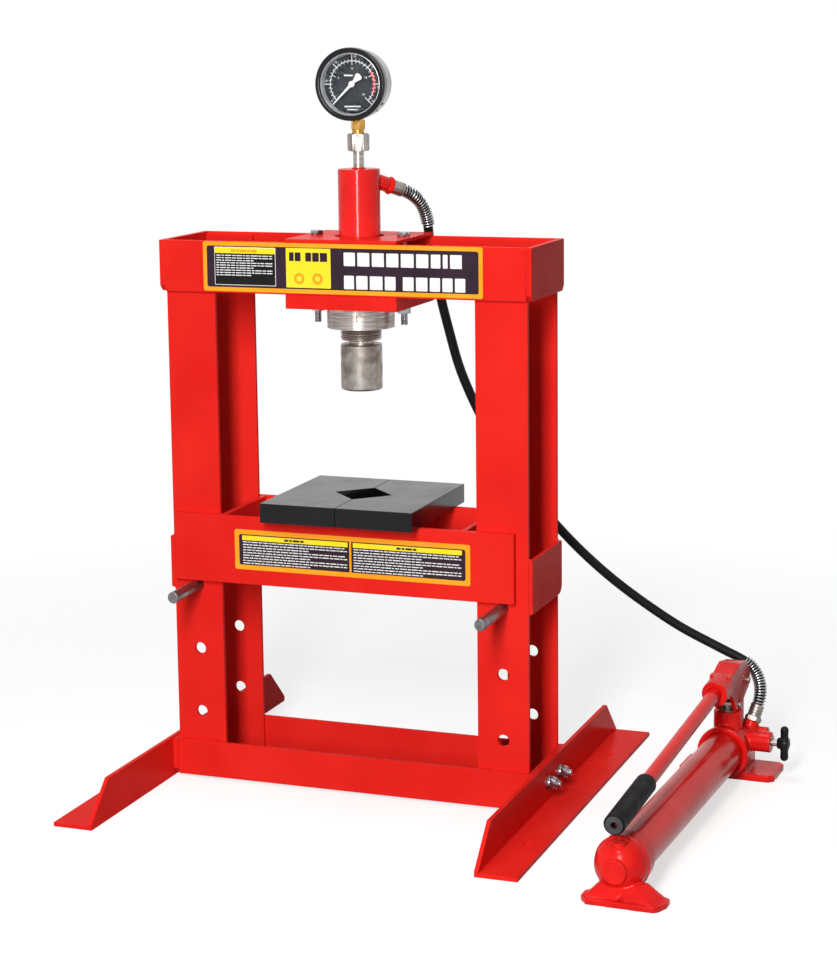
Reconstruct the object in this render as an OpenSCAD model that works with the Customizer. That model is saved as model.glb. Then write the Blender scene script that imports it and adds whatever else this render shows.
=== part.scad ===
// Hydraulic shop press with a hand pump. Millimetres, +Z up.
// Origin: on the floor, under the ram's axis at the middle of the frame. The front faces -Y.

/* [Frame] */
// Distance between the centres of the left and right uprights
bar_pitch = 470; // [440:1:560]
// Width of an upright bar
bar_w = 76; // [66:1:90]
// Thickness of an upright bar
bar_t = 6; // [5:0.5:9]
// Depth over the outer faces of the front and back bars
frame_depth = 141; // [132:1:180]
// Height of the frame's top edge
frame_h = 801; // [780:1:900]
// Height of the head ring's plates
head_h = 74; // [64:1:90]
// Height of the base ring's plates
base_h = 54; // [46:1:70]
// Gap between the base ring and the floor
base_gap = 4; // [2:0.5:8]
// Thickness of the ring's front and back plates
ring_t = 6; // [5:0.5:10]
// Thickness of the ring's end plates
ring_end_t = 8; // [6:0.5:12]
// Height of the tie plates on the sides
tie_h = 77; // [60:1:110]
// Height of the tie plates' lower edge
tie_z = 288; // [260:1:340]

/* [Feet] */
// Leg width of the angle-iron feet
foot_leg = 60; // [50:1:80]
// Thickness of the angle iron
foot_t = 6; // [4:0.5:8]
// Length of a foot from front to back
foot_len = 670; // [560:5:800]
// Diameter of the floor bolt holes
floor_hole_d = 11; // [8:0.5:14]
// Distance between a foot's two floor bolt holes
floor_hole_pitch = 414; // [340:2:480]
// Distance from the base ring's end to the floor bolt holes
floor_hole_x = 33; // [28:0.5:38]
// Distance between the two bolts that hold a foot to the frame
foot_bolt_pitch = 54; // [40:1:80]
// Height of the foot bolts
foot_bolt_z = 32; // [28:1:36]

/* [Bed] */
// Distance between the rows of pin holes
hole_pitch = 96; // [80:1:110]
// Height of the lowest pin hole
first_hole_z = 102; // [95:1:110]
// Number of pin holes in each upright
hole_count = 3; // [3:1:5]
// Row of holes that the pins are in, counted from the lowest
bed_level = 2; // [0:1:2]
// Diameter of the bed pins
pin_d = 17; // [14:0.5:20]
// Length of the bed pins
pin_l = 255; // [250:1:280]
// How far the left pin stands out in front of the frame's middle
left_pin_out = 157; // [150:1:165]
// How far the right pin stands out in front of the frame's middle
right_pin_out = 170; // [150:1:172]
// Length of the bed
bed_len = 522; // [500:1:540]
// Height of the bed's plates
bed_h = 100; // [80:1:120]
// Thickness of the bed's plates
bed_t = 9; // [8:0.5:12]
// Side play of the bed, taken up to the left
bed_play = 6; // [4:0.5:7]
// Length of an arbor plate along the bed
arbor_len = 115.5; // [100:0.5:125]
// Width of an arbor plate across the bed
arbor_w = 224; // [190:1:250]
// Thickness of the arbor plates
arbor_t = 28; // [20:1:34]
// Depth of the notch in each arbor plate
notch = 44; // [30:1:50]

/* [Ram] */
// Outer diameter of the ram's cylinder
cyl_d = 60; // [56:0.5:66]
// Bore of the ram's cylinder
cyl_bore = 44; // [40:0.5:48]
// Height of the cylinder's top above the frame's top
cyl_over = 100; // [90:1:120]
// Length of the cylinder
cyl_len = 244; // [236:1:260]
// Diameter of the piston rod
rod_d = 36; // [32:0.5:38]
// Diameter of the ram's head
ram_d = 60; // [50:1:66]
// Length of the ram's head
ram_len = 66; // [50:1:70]
// Outer diameter of the ring nut
nut_d = 97; // [86:1:104]
// Height of the ring nut
nut_h = 32; // [24:1:36]
// Half length of the clamp plates along the frame
clamp_half = 84; // [80:1:100]
// Thickness of the upper clamp plate
clamp_top_t = 5; // [4:0.5:8]
// Thickness of the lower clamp plate
clamp_low_t = 20; // [16:1:24]
// Distance between the two clamp bolts
clamp_bolt_pitch = 133; // [124:1:140]

/* [Gauge] */
// Outer diameter of the gauge's bezel
gauge_d = 102; // [90:1:110]
// Height of the gauge's centre above the cylinder's top
gauge_up = 119.5; // [116:0.5:126]
// Diameter of the dial that shows inside the bezel
dial_d = 87; // [76:1:88]
// Depth of the gauge's case behind the bezel
case_depth = 36; // [30:1:42]

/* [Pump] */
// Sideways place of the pump's front end
pump_x = 482; // [470:1:500]
// Front to back place of the pump's front end
pump_y = -338; // [-350:1:-320]
// Clockwise turn of the pump from the frame's depth direction
pump_turn = 2; // [0:0.5:4]
// Outer diameter of the oil tank
tank_d = 60; // [54:0.5:64]
// Height of the tank's axis
tank_z = 44; // [42:0.5:48]
// Distance from the pump's front end to its head
tank_len = 488; // [470:1:500]
// Diameter of the plunger
plunger_d = 14; // [12:0.5:16]
// Distance from the plunger to the handle's pivot
pivot_reach = 51; // [48:0.5:54]
// Half of the handle's swing, which the plunger's pin has on each side of the pivot's height
half_swing = 25; // [20:1:28]
// Diameter of the handle tube
handle_d = 20; // [18:0.5:22]
// Outer diameter of the handle's grip
grip_d = 28.6; // [26:0.2:32]
// Diameter of the release valve's stem
stem_d = 10; // [8:0.5:12]

/* [Hose] */
// Outer diameter of the hose
hose_d = 14; // [12:0.5:15]
// Outer diameter of the spring guards at the hose's ends
guard_d = 19.4; // [18.6:0.2:21]

/* [Hidden] */

$fn = 64;
red = "#e0202a";
deep_red = "#a01820";
steel = "#b9bcc0";
black = "#1c1c1e";
eps = 0.5;                       // how far a cutting tool reaches past a face

// Clearances
pin_fit = 0.08;                  // radial, pins and shafts in their holes
seat_gap = 0.3;                  // between a rounded face and what it rests on
slide_gap = 1.5;                 // between the bed's plates and the uprights
plate_gap = 0.5;                 // between the two arbor plates
thread_gap = 0.1;                // radial, screwed joints drawn without their thread
bolt_hole_gap = 0.5;             // radial, bolts in plain holes

// Frame places
bar_x = bar_pitch / 2;
bar_y = frame_depth / 2;
ring_x = bar_x + bar_w / 2;      // inner faces of the ring's end plates
ring_y = bar_y + ring_t;         // outer faces of the ring's front and back plates
frame_end_x = ring_x + ring_end_t;
head_z = frame_h - head_h;
bar_top_gap = 3;
ring_bevel = 8;
tie_t = 6;

// Foot places
foot_flat = 108;                 // length of the sloped ends of a foot's upright leg, both together
foot_toe = 8;                    // height left at a foot's tips
bolt_d = 10;
bolt_af = 17;
bolt_head_h = 6.4;
bolt_nut_h = 8.5;
washer_d = 21;
washer_t = 2;
spring_washer_t = 2.5;
spring_washer_d = 18;
foot_bolt_out = 19;              // from the foot's outer face to the bolt's end

// Bed places
hole_d = pin_d + 2 * pin_fit;
pin_z = first_hole_z + bed_level * hole_pitch;
bed_z = pin_z + pin_d / 2 + seat_gap;
bed_top = bed_z + bed_h;
bed_in_y = bar_y + slide_gap;
cross_t = 8;
cross_x = bar_x - bar_w / 2 - bed_play - 2;   // outer faces of the cross plates from the bed's middle

// Ram places
cyl_top = frame_h + cyl_over;
cyl_bottom = cyl_top - cyl_len;
clamp_low_z = head_z - clamp_low_t;
nut_z = clamp_low_z - nut_h;
cap_t = 17;                      // thickness of the cylinder's closed end
bore_top = cyl_top - cap_t;
oil_d = 8;                       // oil passages
neck_gap = 6.4;                  // rod that shows between the cylinder and the ram's head
ram_top = cyl_bottom - neck_gap;
rod_socket = 12;                 // how far the rod enters the ram's head
piston_h = 24;
piston_gap = 0.05;               // radial, piston and seal in the bore
seal_h = 6;
seal_depth = 3;
gland_h = 22;
gland_z = cyl_bottom + 2;
spring_well_d = 22;              // bore in the rod that holds the return spring
spring_well_z = cyl_bottom + 8;
coil_r = 8.5;                    // from the axis to the middle of the spring's wire
wire_d = 3;
anchor_r = coil_r - wire_d / 2 - 0.3;
anchor_h = 12;
coil_turns = 16;
nut_hole_d = 10;
nut_hole_turn = 18;
clamp_hole_d = cyl_d + 12;
clamp_bolt_end = 27;             // from the lower clamp plate to the bolts' ends

// Gauge places
gauge_z = cyl_top + gauge_up;
tube_l = 25;
tube_d = 15.3;
adapter_l = 24.7;
adapter_af = 27;
stem_af = 18;
bezel_d = 15;                    // depth of the bezel
bezel_front = -37;               // the bezel's front face
case_front = bezel_front + bezel_d;
case_wall = 1.5;
bezel_seat_r = dial_d / 2 + 3.3;
lens_t = 2.5;
dial_t = 1.5;
lip_t = 3;
shaft_d = 3;
pointer_l = 39;
pointer_tail = 18;
gauge_turn = 4;                  // how far the gauge is turned on its stem, towards the right
pointer_rest = 225;              // where the pointer rests, anticlockwise from the right

// The hose's ports: where the hose starts and the way that it leaves the fitting.
// The ram's port is in the frame's own axes and the pump's port in the pump's.
port_drop = 9;                   // from the cylinder's top to where the port's axis starts
port_out = 72;                   // from the ram's axis to the hose, along the port
ram_port_way = [2, 2, -1] / 3;
ram_port = [0, 0, cyl_top - port_drop] + port_out * ram_port_way;
pump_port = [31.0, tank_len + 86.1, tank_z + 52];
pump_port_way = unit([0.22, 0.4, 0.89]);
port_lead = 3;                   // the hose's straight start at each end
ferrule_l = 18;
ferrule_d = 21;
fitting_l = 7;
fitting_af = 22;
ram_boss_l = 23;
ram_boss_d = 22;
hose_wall = 3.5;
guard_gap = 0.4;
guard_steps = 9;                 // half steps of the route that a guard covers
hose_sides = 12;

// Pump places, in the pump's own frame: its front end at the origin, its length along +Y
cap_r = tank_d / 2 + 6;
tank_wall = 3;
tank_fit = 0.05;
cap_collar = 30;
tank_front = 6;
head_rim_r = tank_d / 2 + 8;
head_rim_l = 12;
head_body_r = tank_d / 2 + 4;
head_l = 82;
plunger_y = tank_len + 33;
plunger_boss_r = 21.3;
gland_nut_in = 14;               // how far the plunger's gland nut is screwed in
gland_nut_out = 0.8;             // and how far it stands out
gland_nut_r = 12;
plunger_boss_top = tank_z + 57;
plunger_bottom = tank_z - 8;
pivot_y = plunger_y + pivot_reach;
pivot_z = tank_z + 90;
lever_pin_d = 8;
lever_pin_z = pivot_z - pivot_reach * tan(half_swing);
pivot_pin_d = 10;
cheek_in = 9.5;                  // from the middle to a cheek's inner face
cheek_t = 6.5;
bracket_half = cheek_in + cheek_t + eps;   // past the bracket's outer faces, for cuts
lug_half = 8;                    // half width of the head's lug and of the plunger's eye
slot_play = 0.9;                 // play of the plunger's pin in the bracket's slots
slot_l = pivot_reach / cos(half_swing) - pivot_reach;   // how far the pin slides in the slots
handle_slope = 4.7;
handle_end = [0, tank_len - 10, tank_z + 104];   // back end of the handle tube, in its socket
handle_l = 500;
socket_r = 19;
socket_l = 37;
grip_l = 140;
grip_over = 15;
grip_hole_d = 6.8;
valve_y = plunger_y + 11;
valve_z = tank_z + 10;
valve_boss_x = 63;
valve_boss_r = 15.3;
valve_in = 30;                   // depth of the valve stem's bore
knob_x = 72;
knob_l = 18;
knob_wing = 26;
filler_y = -15;
filler_r = 9.4;
filler_seat = 29;                // the plug's seat above the tank's axis
filler_rim = 2;                  // how far the boss stands up round the seat

// The hose's centre line from the ram's port to the pump's port
hose_route = [
    ram_port, ram_port + port_lead * ram_port_way,
    [58.6, 59.7, 860.4], [66.4, 72.2, 848.1], [70.3, 85.1, 827.9], [70.5, 93.6, 804.2],
    [71.6, 109.3, 759.2], [81.5, 115, 702], [92, 123, 650], [102, 131, 605], [119, 141, 555], [140, 154, 505],
    [166, 170, 455], [198, 187, 402], [232, 203, 355], [270, 219, 311], [315, 237, 267],
    [366, 252, 227], [416, 262, 195], [454, 267, 176], [476, 268, 166], [497, 268, 157],
    [515, 264.5, 147.5], [528, 257, 133], [534.5, 246, 116],
    in_frame(pump_port + port_lead * pump_port_way), in_frame(pump_port)
];

// ---------- shared shapes ----------

// Points of a round arc about (x, y), from angle a0 to a1
function arc(x, y, r, a0, a1, n = 8) =
    [for (i = [0:n]) [x + r * cos(a0 + (a1 - a0) * i / n), y + r * sin(a0 + (a1 - a0) * i / n)]];

function unit(v) = v / norm(v);

// A point of the pump's own axes in the frame's axes
function in_frame(p) = [
    pump_x + p[0] * cos(pump_turn) + p[1] * sin(pump_turn),
    pump_y - p[0] * sin(pump_turn) + p[1] * cos(pump_turn),
    p[2]
];

// Direction of a route at its point i
function way(route, i) =
    unit(route[min(i + 1, len(route) - 1)] - route[max(i - 1, 0)]);

// One ring of points about a route's point, with its first corner turned towards +X
function ring(route, i, r, sides) =
    let (d = way(route, i), u = unit(cross([0, 1, 0], d)), v = cross(d, u))
    [for (k = [0:sides - 1]) route[i] + r * (cos(360 * k / sides) * u + sin(360 * k / sides) * v)];

// A point of the smooth curve through four points of a route, t from 0 to 1 between p1 and p2
function blend_point(p0, p1, p2, p3, t) =
    0.5 * (2 * p1 + (p2 - p0) * t + (2 * p0 - 5 * p1 + 4 * p2 - p3) * t * t
           + (3 * p1 - p0 - 3 * p2 + p3) * t * t * t);

// A route with extra points between its own
function finer(route, steps) = [
    for (i = [0:len(route) - 2], k = [0:steps - 1])
        blend_point(route[max(i - 1, 0)], route[i], route[i + 1],
                    route[min(i + 2, len(route) - 1)], k / steps),
    route[len(route) - 1]
];

// Side faces between n rings of points, then the two end faces
function tube_faces(n, sides) = concat(
    [for (i = [0:n - 2], k = [0:sides - 1])
        [i * sides + k, (i + 1) * sides + k,
         (i + 1) * sides + (k + 1) % sides, i * sides + (k + 1) % sides]],
    [[for (k = [0:sides - 1]) k]],
    [[for (k = [sides - 1:-1:0]) (n - 1) * sides + k]]
);

// A solid round bar along a route
module swept(route, r, sides) {
    polyhedron(
        points = [for (i = [0:len(route) - 1]) each ring(route, i, r, sides)],
        faces = tube_faces(len(route), sides),
        convexity = 6
    );
}

// A pipe along a route: rings of outer and inner points, joined along their sides and ends
module sleeve(route, r_out, r_in, sides) {
    n = len(route);
    span = 2 * sides;
    last = (n - 1) * span;
    function side_face(i, k, shift) = [
        i * span + shift + k, (i + 1) * span + shift + k,
        (i + 1) * span + shift + (k + 1) % sides, i * span + shift + (k + 1) % sides
    ];
    function flipped(f) = [f[3], f[2], f[1], f[0]];
    function end_face(at, k) = [at + k, at + (k + 1) % sides, at + sides + (k + 1) % sides, at + sides + k];
    polyhedron(
        points = [for (i = [0:n - 1])
            each concat(ring(route, i, r_out, sides), ring(route, i, r_in, sides))],
        faces = concat(
            [for (i = [0:n - 2], k = [0:sides - 1]) side_face(i, k, 0)],
            [for (i = [0:n - 2], k = [0:sides - 1]) flipped(side_face(i, k, sides))],
            [for (k = [0:sides - 1]) end_face(0, k)],
            [for (k = [0:sides - 1]) flipped(end_face(last, k))]
        ),
        convexity = 8
    );
}

// A cylinder from point p, l long in direction d
module rod_along(p, d, l, r, sides = 48) {
    u = unit(d);
    translate(p)
        rotate([0, acos(u[2]), atan2(u[1], u[0])])
            cylinder(h = l, r = r, $fn = sides);
}

module hex_prism(af, h) {
    cylinder(h = h, r = af / 2 / cos(30), $fn = 6);
}

module bolt_along_x(x0, x1, head_side) {
    translate([x0, 0, 0])
        rotate([0, 90, 0])
            cylinder(h = x1 - x0, r = bolt_d / 2);
    translate([head_side < 0 ? x0 - bolt_head_h : x1, 0, 0])
        rotate([0, 90, 0])
            hex_prism(bolt_af, bolt_head_h);
}

module at_pump() {
    translate([pump_x, pump_y, 0])
        rotate([0, 0, -pump_turn])
            children();
}

module both_sides() {
    children();
    mirror([1, 0, 0]) children();
}

// ---------- frame ----------

module upright(side, face) {
    color(red)
        difference() {
            translate([side * bar_x - bar_w / 2, face > 0 ? bar_y - bar_t : -bar_y, base_gap])
                cube([bar_w, bar_t, frame_h - bar_top_gap - base_gap]);
            for (i = [0:hole_count - 1])
                translate([side * bar_x, face * (bar_y + eps), first_hole_z + i * hole_pitch])
                    rotate([face * 90, 0, 0])
                        cylinder(h = bar_t + 2 * eps, r = hole_d / 2);
        }
}
module front_left_upright() { upright(-1, -1); }
module front_right_upright() { upright(1, -1); }
module back_left_upright() { upright(-1, 1); }
module back_right_upright() { upright(1, 1); }

module ring_long_plate(face, z, h) {
    color(red)
        translate([-ring_x, face > 0 ? bar_y : -ring_y, z])
            cube([2 * ring_x, ring_t, h]);
}
module head_front_plate() { ring_long_plate(-1, head_z, head_h); }
module head_back_plate() { ring_long_plate(1, head_z, head_h); }
module base_front_plate() { ring_long_plate(-1, base_gap, base_h); }
module base_back_plate() { ring_long_plate(1, base_gap, base_h); }

// An end plate of a ring, standing at the right end, with its lower corners cut off
module ring_end_plate(z, h) {
    translate([ring_x, 0, z])
        rotate([90, 0, 90])
            linear_extrude(ring_end_t)
                polygon([
                    [-ring_y, ring_bevel], [-ring_y + ring_bevel, 0], [ring_y - ring_bevel, 0],
                    [ring_y, ring_bevel], [ring_y, h], [-ring_y, h]
                ]);
}
module head_end_plates() {
    color(deep_red) both_sides() ring_end_plate(head_z, head_h);
}
module base_end_plates() {
    color(deep_red)
        both_sides()
            difference() {
                ring_end_plate(base_gap, base_h);
                foot_bolt_holes();
            }
}

// Two holes for the foot bolts through the base's right end plate and the right foot
module foot_bolt_holes() {
    for (s = [-1, 1])
        translate([ring_x - eps, s * foot_bolt_pitch / 2, foot_bolt_z])
            rotate([0, 90, 0])
                cylinder(h = ring_end_t + foot_t + 2 * eps, r = bolt_d / 2 + bolt_hole_gap);
}

module tie_plates() {
    round_r = 14;
    color(deep_red)
        both_sides()
            translate([ring_x, 0, tie_z])
                rotate([90, 0, 90])
                    linear_extrude(tie_t)
                        polygon(concat(
                            [[-bar_y, 0]],
                            arc(bar_y - round_r, round_r, round_r, -90, 0),
                            [[bar_y, tie_h], [-bar_y, tie_h]]
                        ));
}

// ---------- feet ----------

module foot() {
    half = foot_len / 2;
    top_half = half - foot_flat / 2;
    difference() {
        union() {
            translate([frame_end_x, 0, 0])
                rotate([90, 0, 90])
                    linear_extrude(foot_t)
                        polygon([
                            [-half, 0], [half, 0], [half, foot_toe], [top_half, foot_leg],
                            [-top_half, foot_leg], [-half, foot_toe]
                        ]);
            translate([frame_end_x, -half, 0])
                cube([foot_leg, foot_len, foot_t]);
        }
        foot_bolt_holes();
        for (s = [-1, 1])
            translate([frame_end_x + floor_hole_x, s * floor_hole_pitch / 2, -eps])
                cylinder(h = foot_t + 2 * eps, r = floor_hole_d / 2);
    }
}
module right_foot() { color(deep_red) foot(); }
module left_foot() { color(deep_red) mirror([1, 0, 0]) foot(); }

module foot_bolts() {
    color(steel)
        both_sides()
            for (s = [-1, 1])
                translate([0, s * foot_bolt_pitch / 2, foot_bolt_z])
                    bolt_along_x(ring_x, frame_end_x + foot_t + foot_bolt_out, -1);
}

module foot_nuts() {
    face_x = frame_end_x + foot_t;
    color(steel)
        both_sides()
            for (s = [-1, 1])
                translate([face_x, s * foot_bolt_pitch / 2, foot_bolt_z])
                    rotate([0, 90, 0])
                        difference() {
                            union() {
                                cylinder(h = washer_t, r = washer_d / 2);
                                translate([0, 0, washer_t])
                                    cylinder(h = spring_washer_t, r = spring_washer_d / 2);
                                translate([0, 0, washer_t + spring_washer_t])
                                    hex_prism(bolt_af, bolt_nut_h);
                            }
                            translate([0, 0, -eps])
                                cylinder(h = 20, r = bolt_d / 2 + thread_gap);
                        }
}

// ---------- bed ----------

module bed_pin(side, out) {
    chamfer = 1.5;
    color(steel)
        translate([side * bar_x, -out, pin_z])
            rotate([-90, 0, 0])
                rotate_extrude()
                    polygon([
                        [0, 0], [pin_d / 2 - chamfer, 0], [pin_d / 2, chamfer],
                        [pin_d / 2, pin_l - chamfer], [pin_d / 2 - chamfer, pin_l], [0, pin_l]
                    ]);
}
module left_bed_pin() { bed_pin(-1, left_pin_out); }
module right_bed_pin() { bed_pin(1, right_pin_out); }

module bed_long_plate(face) {
    color(red)
        translate([-bed_len / 2 - bed_play, face > 0 ? bed_in_y : -bed_in_y - bed_t, bed_z])
            cube([bed_len, bed_t, bed_h]);
}
module bed_front_plate() { bed_long_plate(-1); }
module bed_back_plate() { bed_long_plate(1); }
module bed_cross_plates() {
    color(red)
        translate([-bed_play, 0, 0])
            both_sides()
                translate([cross_x - cross_t, -bed_in_y, bed_z])
                    cube([cross_t, 2 * bed_in_y, bed_h]);
}

module arbor_plate() {
    color(black)
        translate([0, 0, bed_top])
            linear_extrude(arbor_t)
                polygon([
                    [plate_gap / 2, -arbor_w / 2], [plate_gap / 2 + arbor_len, -arbor_w / 2],
                    [plate_gap / 2 + arbor_len, arbor_w / 2], [plate_gap / 2, arbor_w / 2],
                    [plate_gap / 2, notch], [notch, 0], [plate_gap / 2, -notch]
                ]);
}
module right_arbor_plate() { arbor_plate(); }
module left_arbor_plate() { mirror([1, 0, 0]) arbor_plate(); }

// ---------- ram ----------

module clamp_plate(z, t, hole) {
    difference() {
        translate([-clamp_half, -ring_y, z])
            cube([2 * clamp_half, 2 * ring_y, t]);
        translate([0, 0, z - eps])
            cylinder(h = t + 2 * eps, r = hole / 2);
        for (s = [-1, 1])
            translate([s * clamp_bolt_pitch / 2, 0, z - eps])
                cylinder(h = t + 2 * eps, r = bolt_d / 2 + bolt_hole_gap);
    }
}
module clamp_top_plate() { color(red) clamp_plate(frame_h, clamp_top_t, clamp_hole_d); }
module clamp_bottom_plate() {
    color(red) clamp_plate(clamp_low_z, clamp_low_t, cyl_d + 2 * bolt_hole_gap);
}

module clamp_bolts() {
    top = frame_h + clamp_top_t;
    color(steel)
        for (s = [-1, 1])
            translate([s * clamp_bolt_pitch / 2, 0, clamp_low_z - clamp_bolt_end]) {
                cylinder(h = top - clamp_low_z + clamp_bolt_end, r = bolt_d / 2);
                translate([0, 0, top - clamp_low_z + clamp_bolt_end])
                    hex_prism(bolt_af, bolt_head_h);
            }
}

module clamp_nuts() {
    color(steel)
        for (s = [-1, 1])
            translate([s * clamp_bolt_pitch / 2, 0, clamp_low_z])
                mirror([0, 0, 1])
                    difference() {
                        union() {
                            cylinder(h = washer_t, r = washer_d / 2);
                            translate([0, 0, washer_t])
                                hex_prism(bolt_af, bolt_nut_h);
                        }
                        translate([0, 0, -eps])
                            cylinder(h = 20, r = bolt_d / 2 + thread_gap);
                    }
}

module ram_cylinder() {
    color(red)
        difference() {
            union() {
                translate([0, 0, clamp_low_z])
                    cylinder(h = cyl_top - clamp_low_z, r = cyl_d / 2);
                translate([0, 0, cyl_bottom])
                    cylinder(h = clamp_low_z - cyl_bottom, r = cyl_d / 2 - 2 * thread_gap);
                rod_along(ram_port - (ferrule_l + fitting_l + ram_boss_l) * ram_port_way,
                          ram_port_way, ram_boss_l, ram_boss_d / 2);
            }
            difference() {
                translate([0, 0, cyl_bottom - eps])
                    cylinder(h = bore_top - cyl_bottom + eps, r = cyl_bore / 2);
                translate([0, 0, bore_top - anchor_h])
                    cylinder(h = anchor_h + eps, r = anchor_r);
            }
            translate([0, 0, bore_top - anchor_h - eps])
                cylinder(h = cap_t + anchor_h + 2 * eps, r = oil_d / 2);
            rod_along([0, 0, cyl_top - port_drop], ram_port_way, port_out, oil_d / 4);
        }
}

module ring_nut() {
    color(steel)
        difference() {
            translate([0, 0, nut_z])
                cylinder(h = nut_h, r = nut_d / 2);
            translate([0, 0, nut_z - eps])
                cylinder(h = nut_h + 2 * eps, r = cyl_d / 2 - thread_gap);
            for (i = [0:3])
                rotate([0, 0, nut_hole_turn + 90 * i])
                    translate([0, -nut_d / 2 + 8, nut_z + nut_h / 2])
                        rotate([90, 0, 0])
                            cylinder(h = nut_d, r = nut_hole_d / 2);
        }
}

module gland() {
    color("#b08d3c")
        difference() {
            translate([0, 0, gland_z])
                cylinder(h = gland_h, r = cyl_bore / 2);
            translate([0, 0, gland_z - eps])
                cylinder(h = gland_h + 2 * eps, r = rod_d / 2 + pin_fit);
        }
}

module piston_rod() {
    piston_r = cyl_bore / 2 - piston_gap;
    top = bore_top - seat_gap;
    color(steel)
        difference() {
            union() {
                translate([0, 0, ram_top - rod_socket])
                    cylinder(h = top - ram_top + rod_socket, r = rod_d / 2);
                translate([0, 0, top - piston_h])
                    cylinder(h = piston_h, r = piston_r);
            }
            translate([0, 0, top - piston_h / 2 - seal_h / 2])
                difference() {
                    cylinder(h = seal_h, r = cyl_bore / 2 + 1);
                    translate([0, 0, -eps])
                        cylinder(h = seal_h + 2 * eps, r = piston_r - seal_depth);
                }
            difference() {
                translate([0, 0, spring_well_z])
                    cylinder(h = top - spring_well_z + eps, r = spring_well_d / 2);
                translate([0, 0, spring_well_z - eps])
                    cylinder(h = anchor_h + eps, r = anchor_r);
            }
        }
}

module piston_seal() {
    piston_r = cyl_bore / 2 - piston_gap;
    color(black)
        translate([0, 0, bore_top - seat_gap - piston_h / 2 - seal_h / 2])
            difference() {
                cylinder(h = seal_h, r = piston_r);
                translate([0, 0, -eps])
                    cylinder(h = seal_h + 2 * eps, r = piston_r - seal_depth);
            }
}

// Tension spring inside the rod, from the rod's closed end up to the cylinder's cap
module return_spring() {
    low = spring_well_z + wire_d / 2;
    high = bore_top - wire_d / 2;
    per_turn = 14;
    n = coil_turns * per_turn;
    path = [for (i = [0:n])
        [coil_r * cos(360 * i / per_turn), coil_r * sin(360 * i / per_turn), low + (high - low) * i / n]];
    color(steel)
        polyhedron(
            points = [for (i = [0:n])
                let (a = 360 * i / per_turn, out = [cos(a), sin(a), 0])
                each [for (k = [0:5]) path[i] + wire_d / 2 * (cos(60 * k) * out + sin(60 * k) * [0, 0, 1])]],
            faces = tube_faces(n + 1, 6),
            convexity = 20
        );
}

module ram_head() {
    edge = 4;
    low = ram_top - ram_len;
    color(steel)
        difference() {
            rotate_extrude()
                polygon(concat(
                    [[0, low]],
                    arc(ram_d / 2 - edge, low + edge, edge, -90, 0),
                    [[ram_d / 2, ram_top - 1], [ram_d / 2 - 1, ram_top], [0, ram_top]]
                ));
            translate([0, 0, ram_top - rod_socket])
                cylinder(h = rod_socket + eps, r = rod_d / 2);
        }
}

// ---------- gauge ----------

module gauge_tube() {
    color(steel)
        translate([0, 0, cyl_top])
            difference() {
                cylinder(h = tube_l, r = tube_d / 2);
                translate([0, 0, -eps])
                    cylinder(h = tube_l + 2 * eps, r = oil_d / 4);
            }
}
module gauge_adapter() {
    color(steel)
        translate([0, 0, cyl_top + tube_l])
            rotate([0, 0, 20])
                hex_prism(adapter_af, adapter_l);
}
module gauge_stem() {
    low = cyl_top + tube_l + adapter_l;
    collar_h = 5.6;
    case_low = gauge_z - bezel_seat_r - case_wall;
    color("#c79a4b")
        translate([0, 0, low]) {
            cylinder(h = collar_h, r = 8.85);
            translate([0, 0, collar_h])
                hex_prism(stem_af, case_low - 2 - low - collar_h);
            cylinder(h = case_low + 6 - low, r = 6);
        }
}
// Turns a shape drawn about +Z so that its axis runs to the back through the gauge's middle
module gauge_axis() {
    translate([0, 0, gauge_z])
        rotate([0, 0, gauge_turn])
            rotate([-90, 0, 0])
                children();
}
module gauge_case() {
    r = bezel_seat_r + case_wall;
    color(steel)
        difference() {
            gauge_axis()
                translate([0, 0, case_front])
                    difference() {
                        cylinder(h = case_depth, r = r);
                        translate([0, 0, -eps])
                            cylinder(h = case_depth - case_wall + eps, r = r - 2 * case_wall);
                    }
            translate([0, 0, gauge_z - r - eps])
                cylinder(h = 3 * case_wall + 4, r = 6 + pin_fit);
        }
}
module gauge_bezel() {
    round_r = 3;
    color(black)
        gauge_axis()
            rotate_extrude()
                polygon(concat(
                    [[dial_d / 2, bezel_front + 1], [dial_d / 2 + 1, bezel_front]],
                    arc(gauge_d / 2 - round_r, bezel_front + round_r, round_r, -90, 0, 5),
                    [[gauge_d / 2, case_front - 1], [gauge_d / 2 - 1, case_front],
                     [bezel_seat_r, case_front], [bezel_seat_r, bezel_front + lip_t],
                     [dial_d / 2, bezel_front + lip_t]]
                ));
}
module gauge_lens() {
    color("#dfe8ea", 0.4)
        gauge_axis()
            translate([0, 0, bezel_front + lip_t])
                cylinder(h = lens_t, r = bezel_seat_r - 2 * tank_fit);
}
module gauge_dial() {
    color("#15262a")
        gauge_axis()
            translate([0, 0, case_front - dial_t])
                difference() {
                    cylinder(h = dial_t, r = bezel_seat_r - 2 * tank_fit);
                    translate([0, 0, -eps])
                        cylinder(h = dial_t + 2 * eps, r = shaft_d / 2 + piston_gap);
                }
}
module gauge_pointer() {
    front = case_front - dial_t - 4;
    thick = 1;
    color("#f2f2ee")
        gauge_axis()
            translate([0, 0, front]) {
                cylinder(h = 14, r = shaft_d / 2);
                cylinder(h = thick, r = 4.5);
                rotate([0, 0, -pointer_rest])
                    linear_extrude(thick)
                        polygon([
                            [pointer_l, -0.4], [pointer_l, 0.4], [0, 1.6],
                            [-pointer_tail, 5], [-pointer_tail, -5], [0, -1.6]
                        ]);
            }
}

// ---------- hose and its fittings ----------

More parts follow.
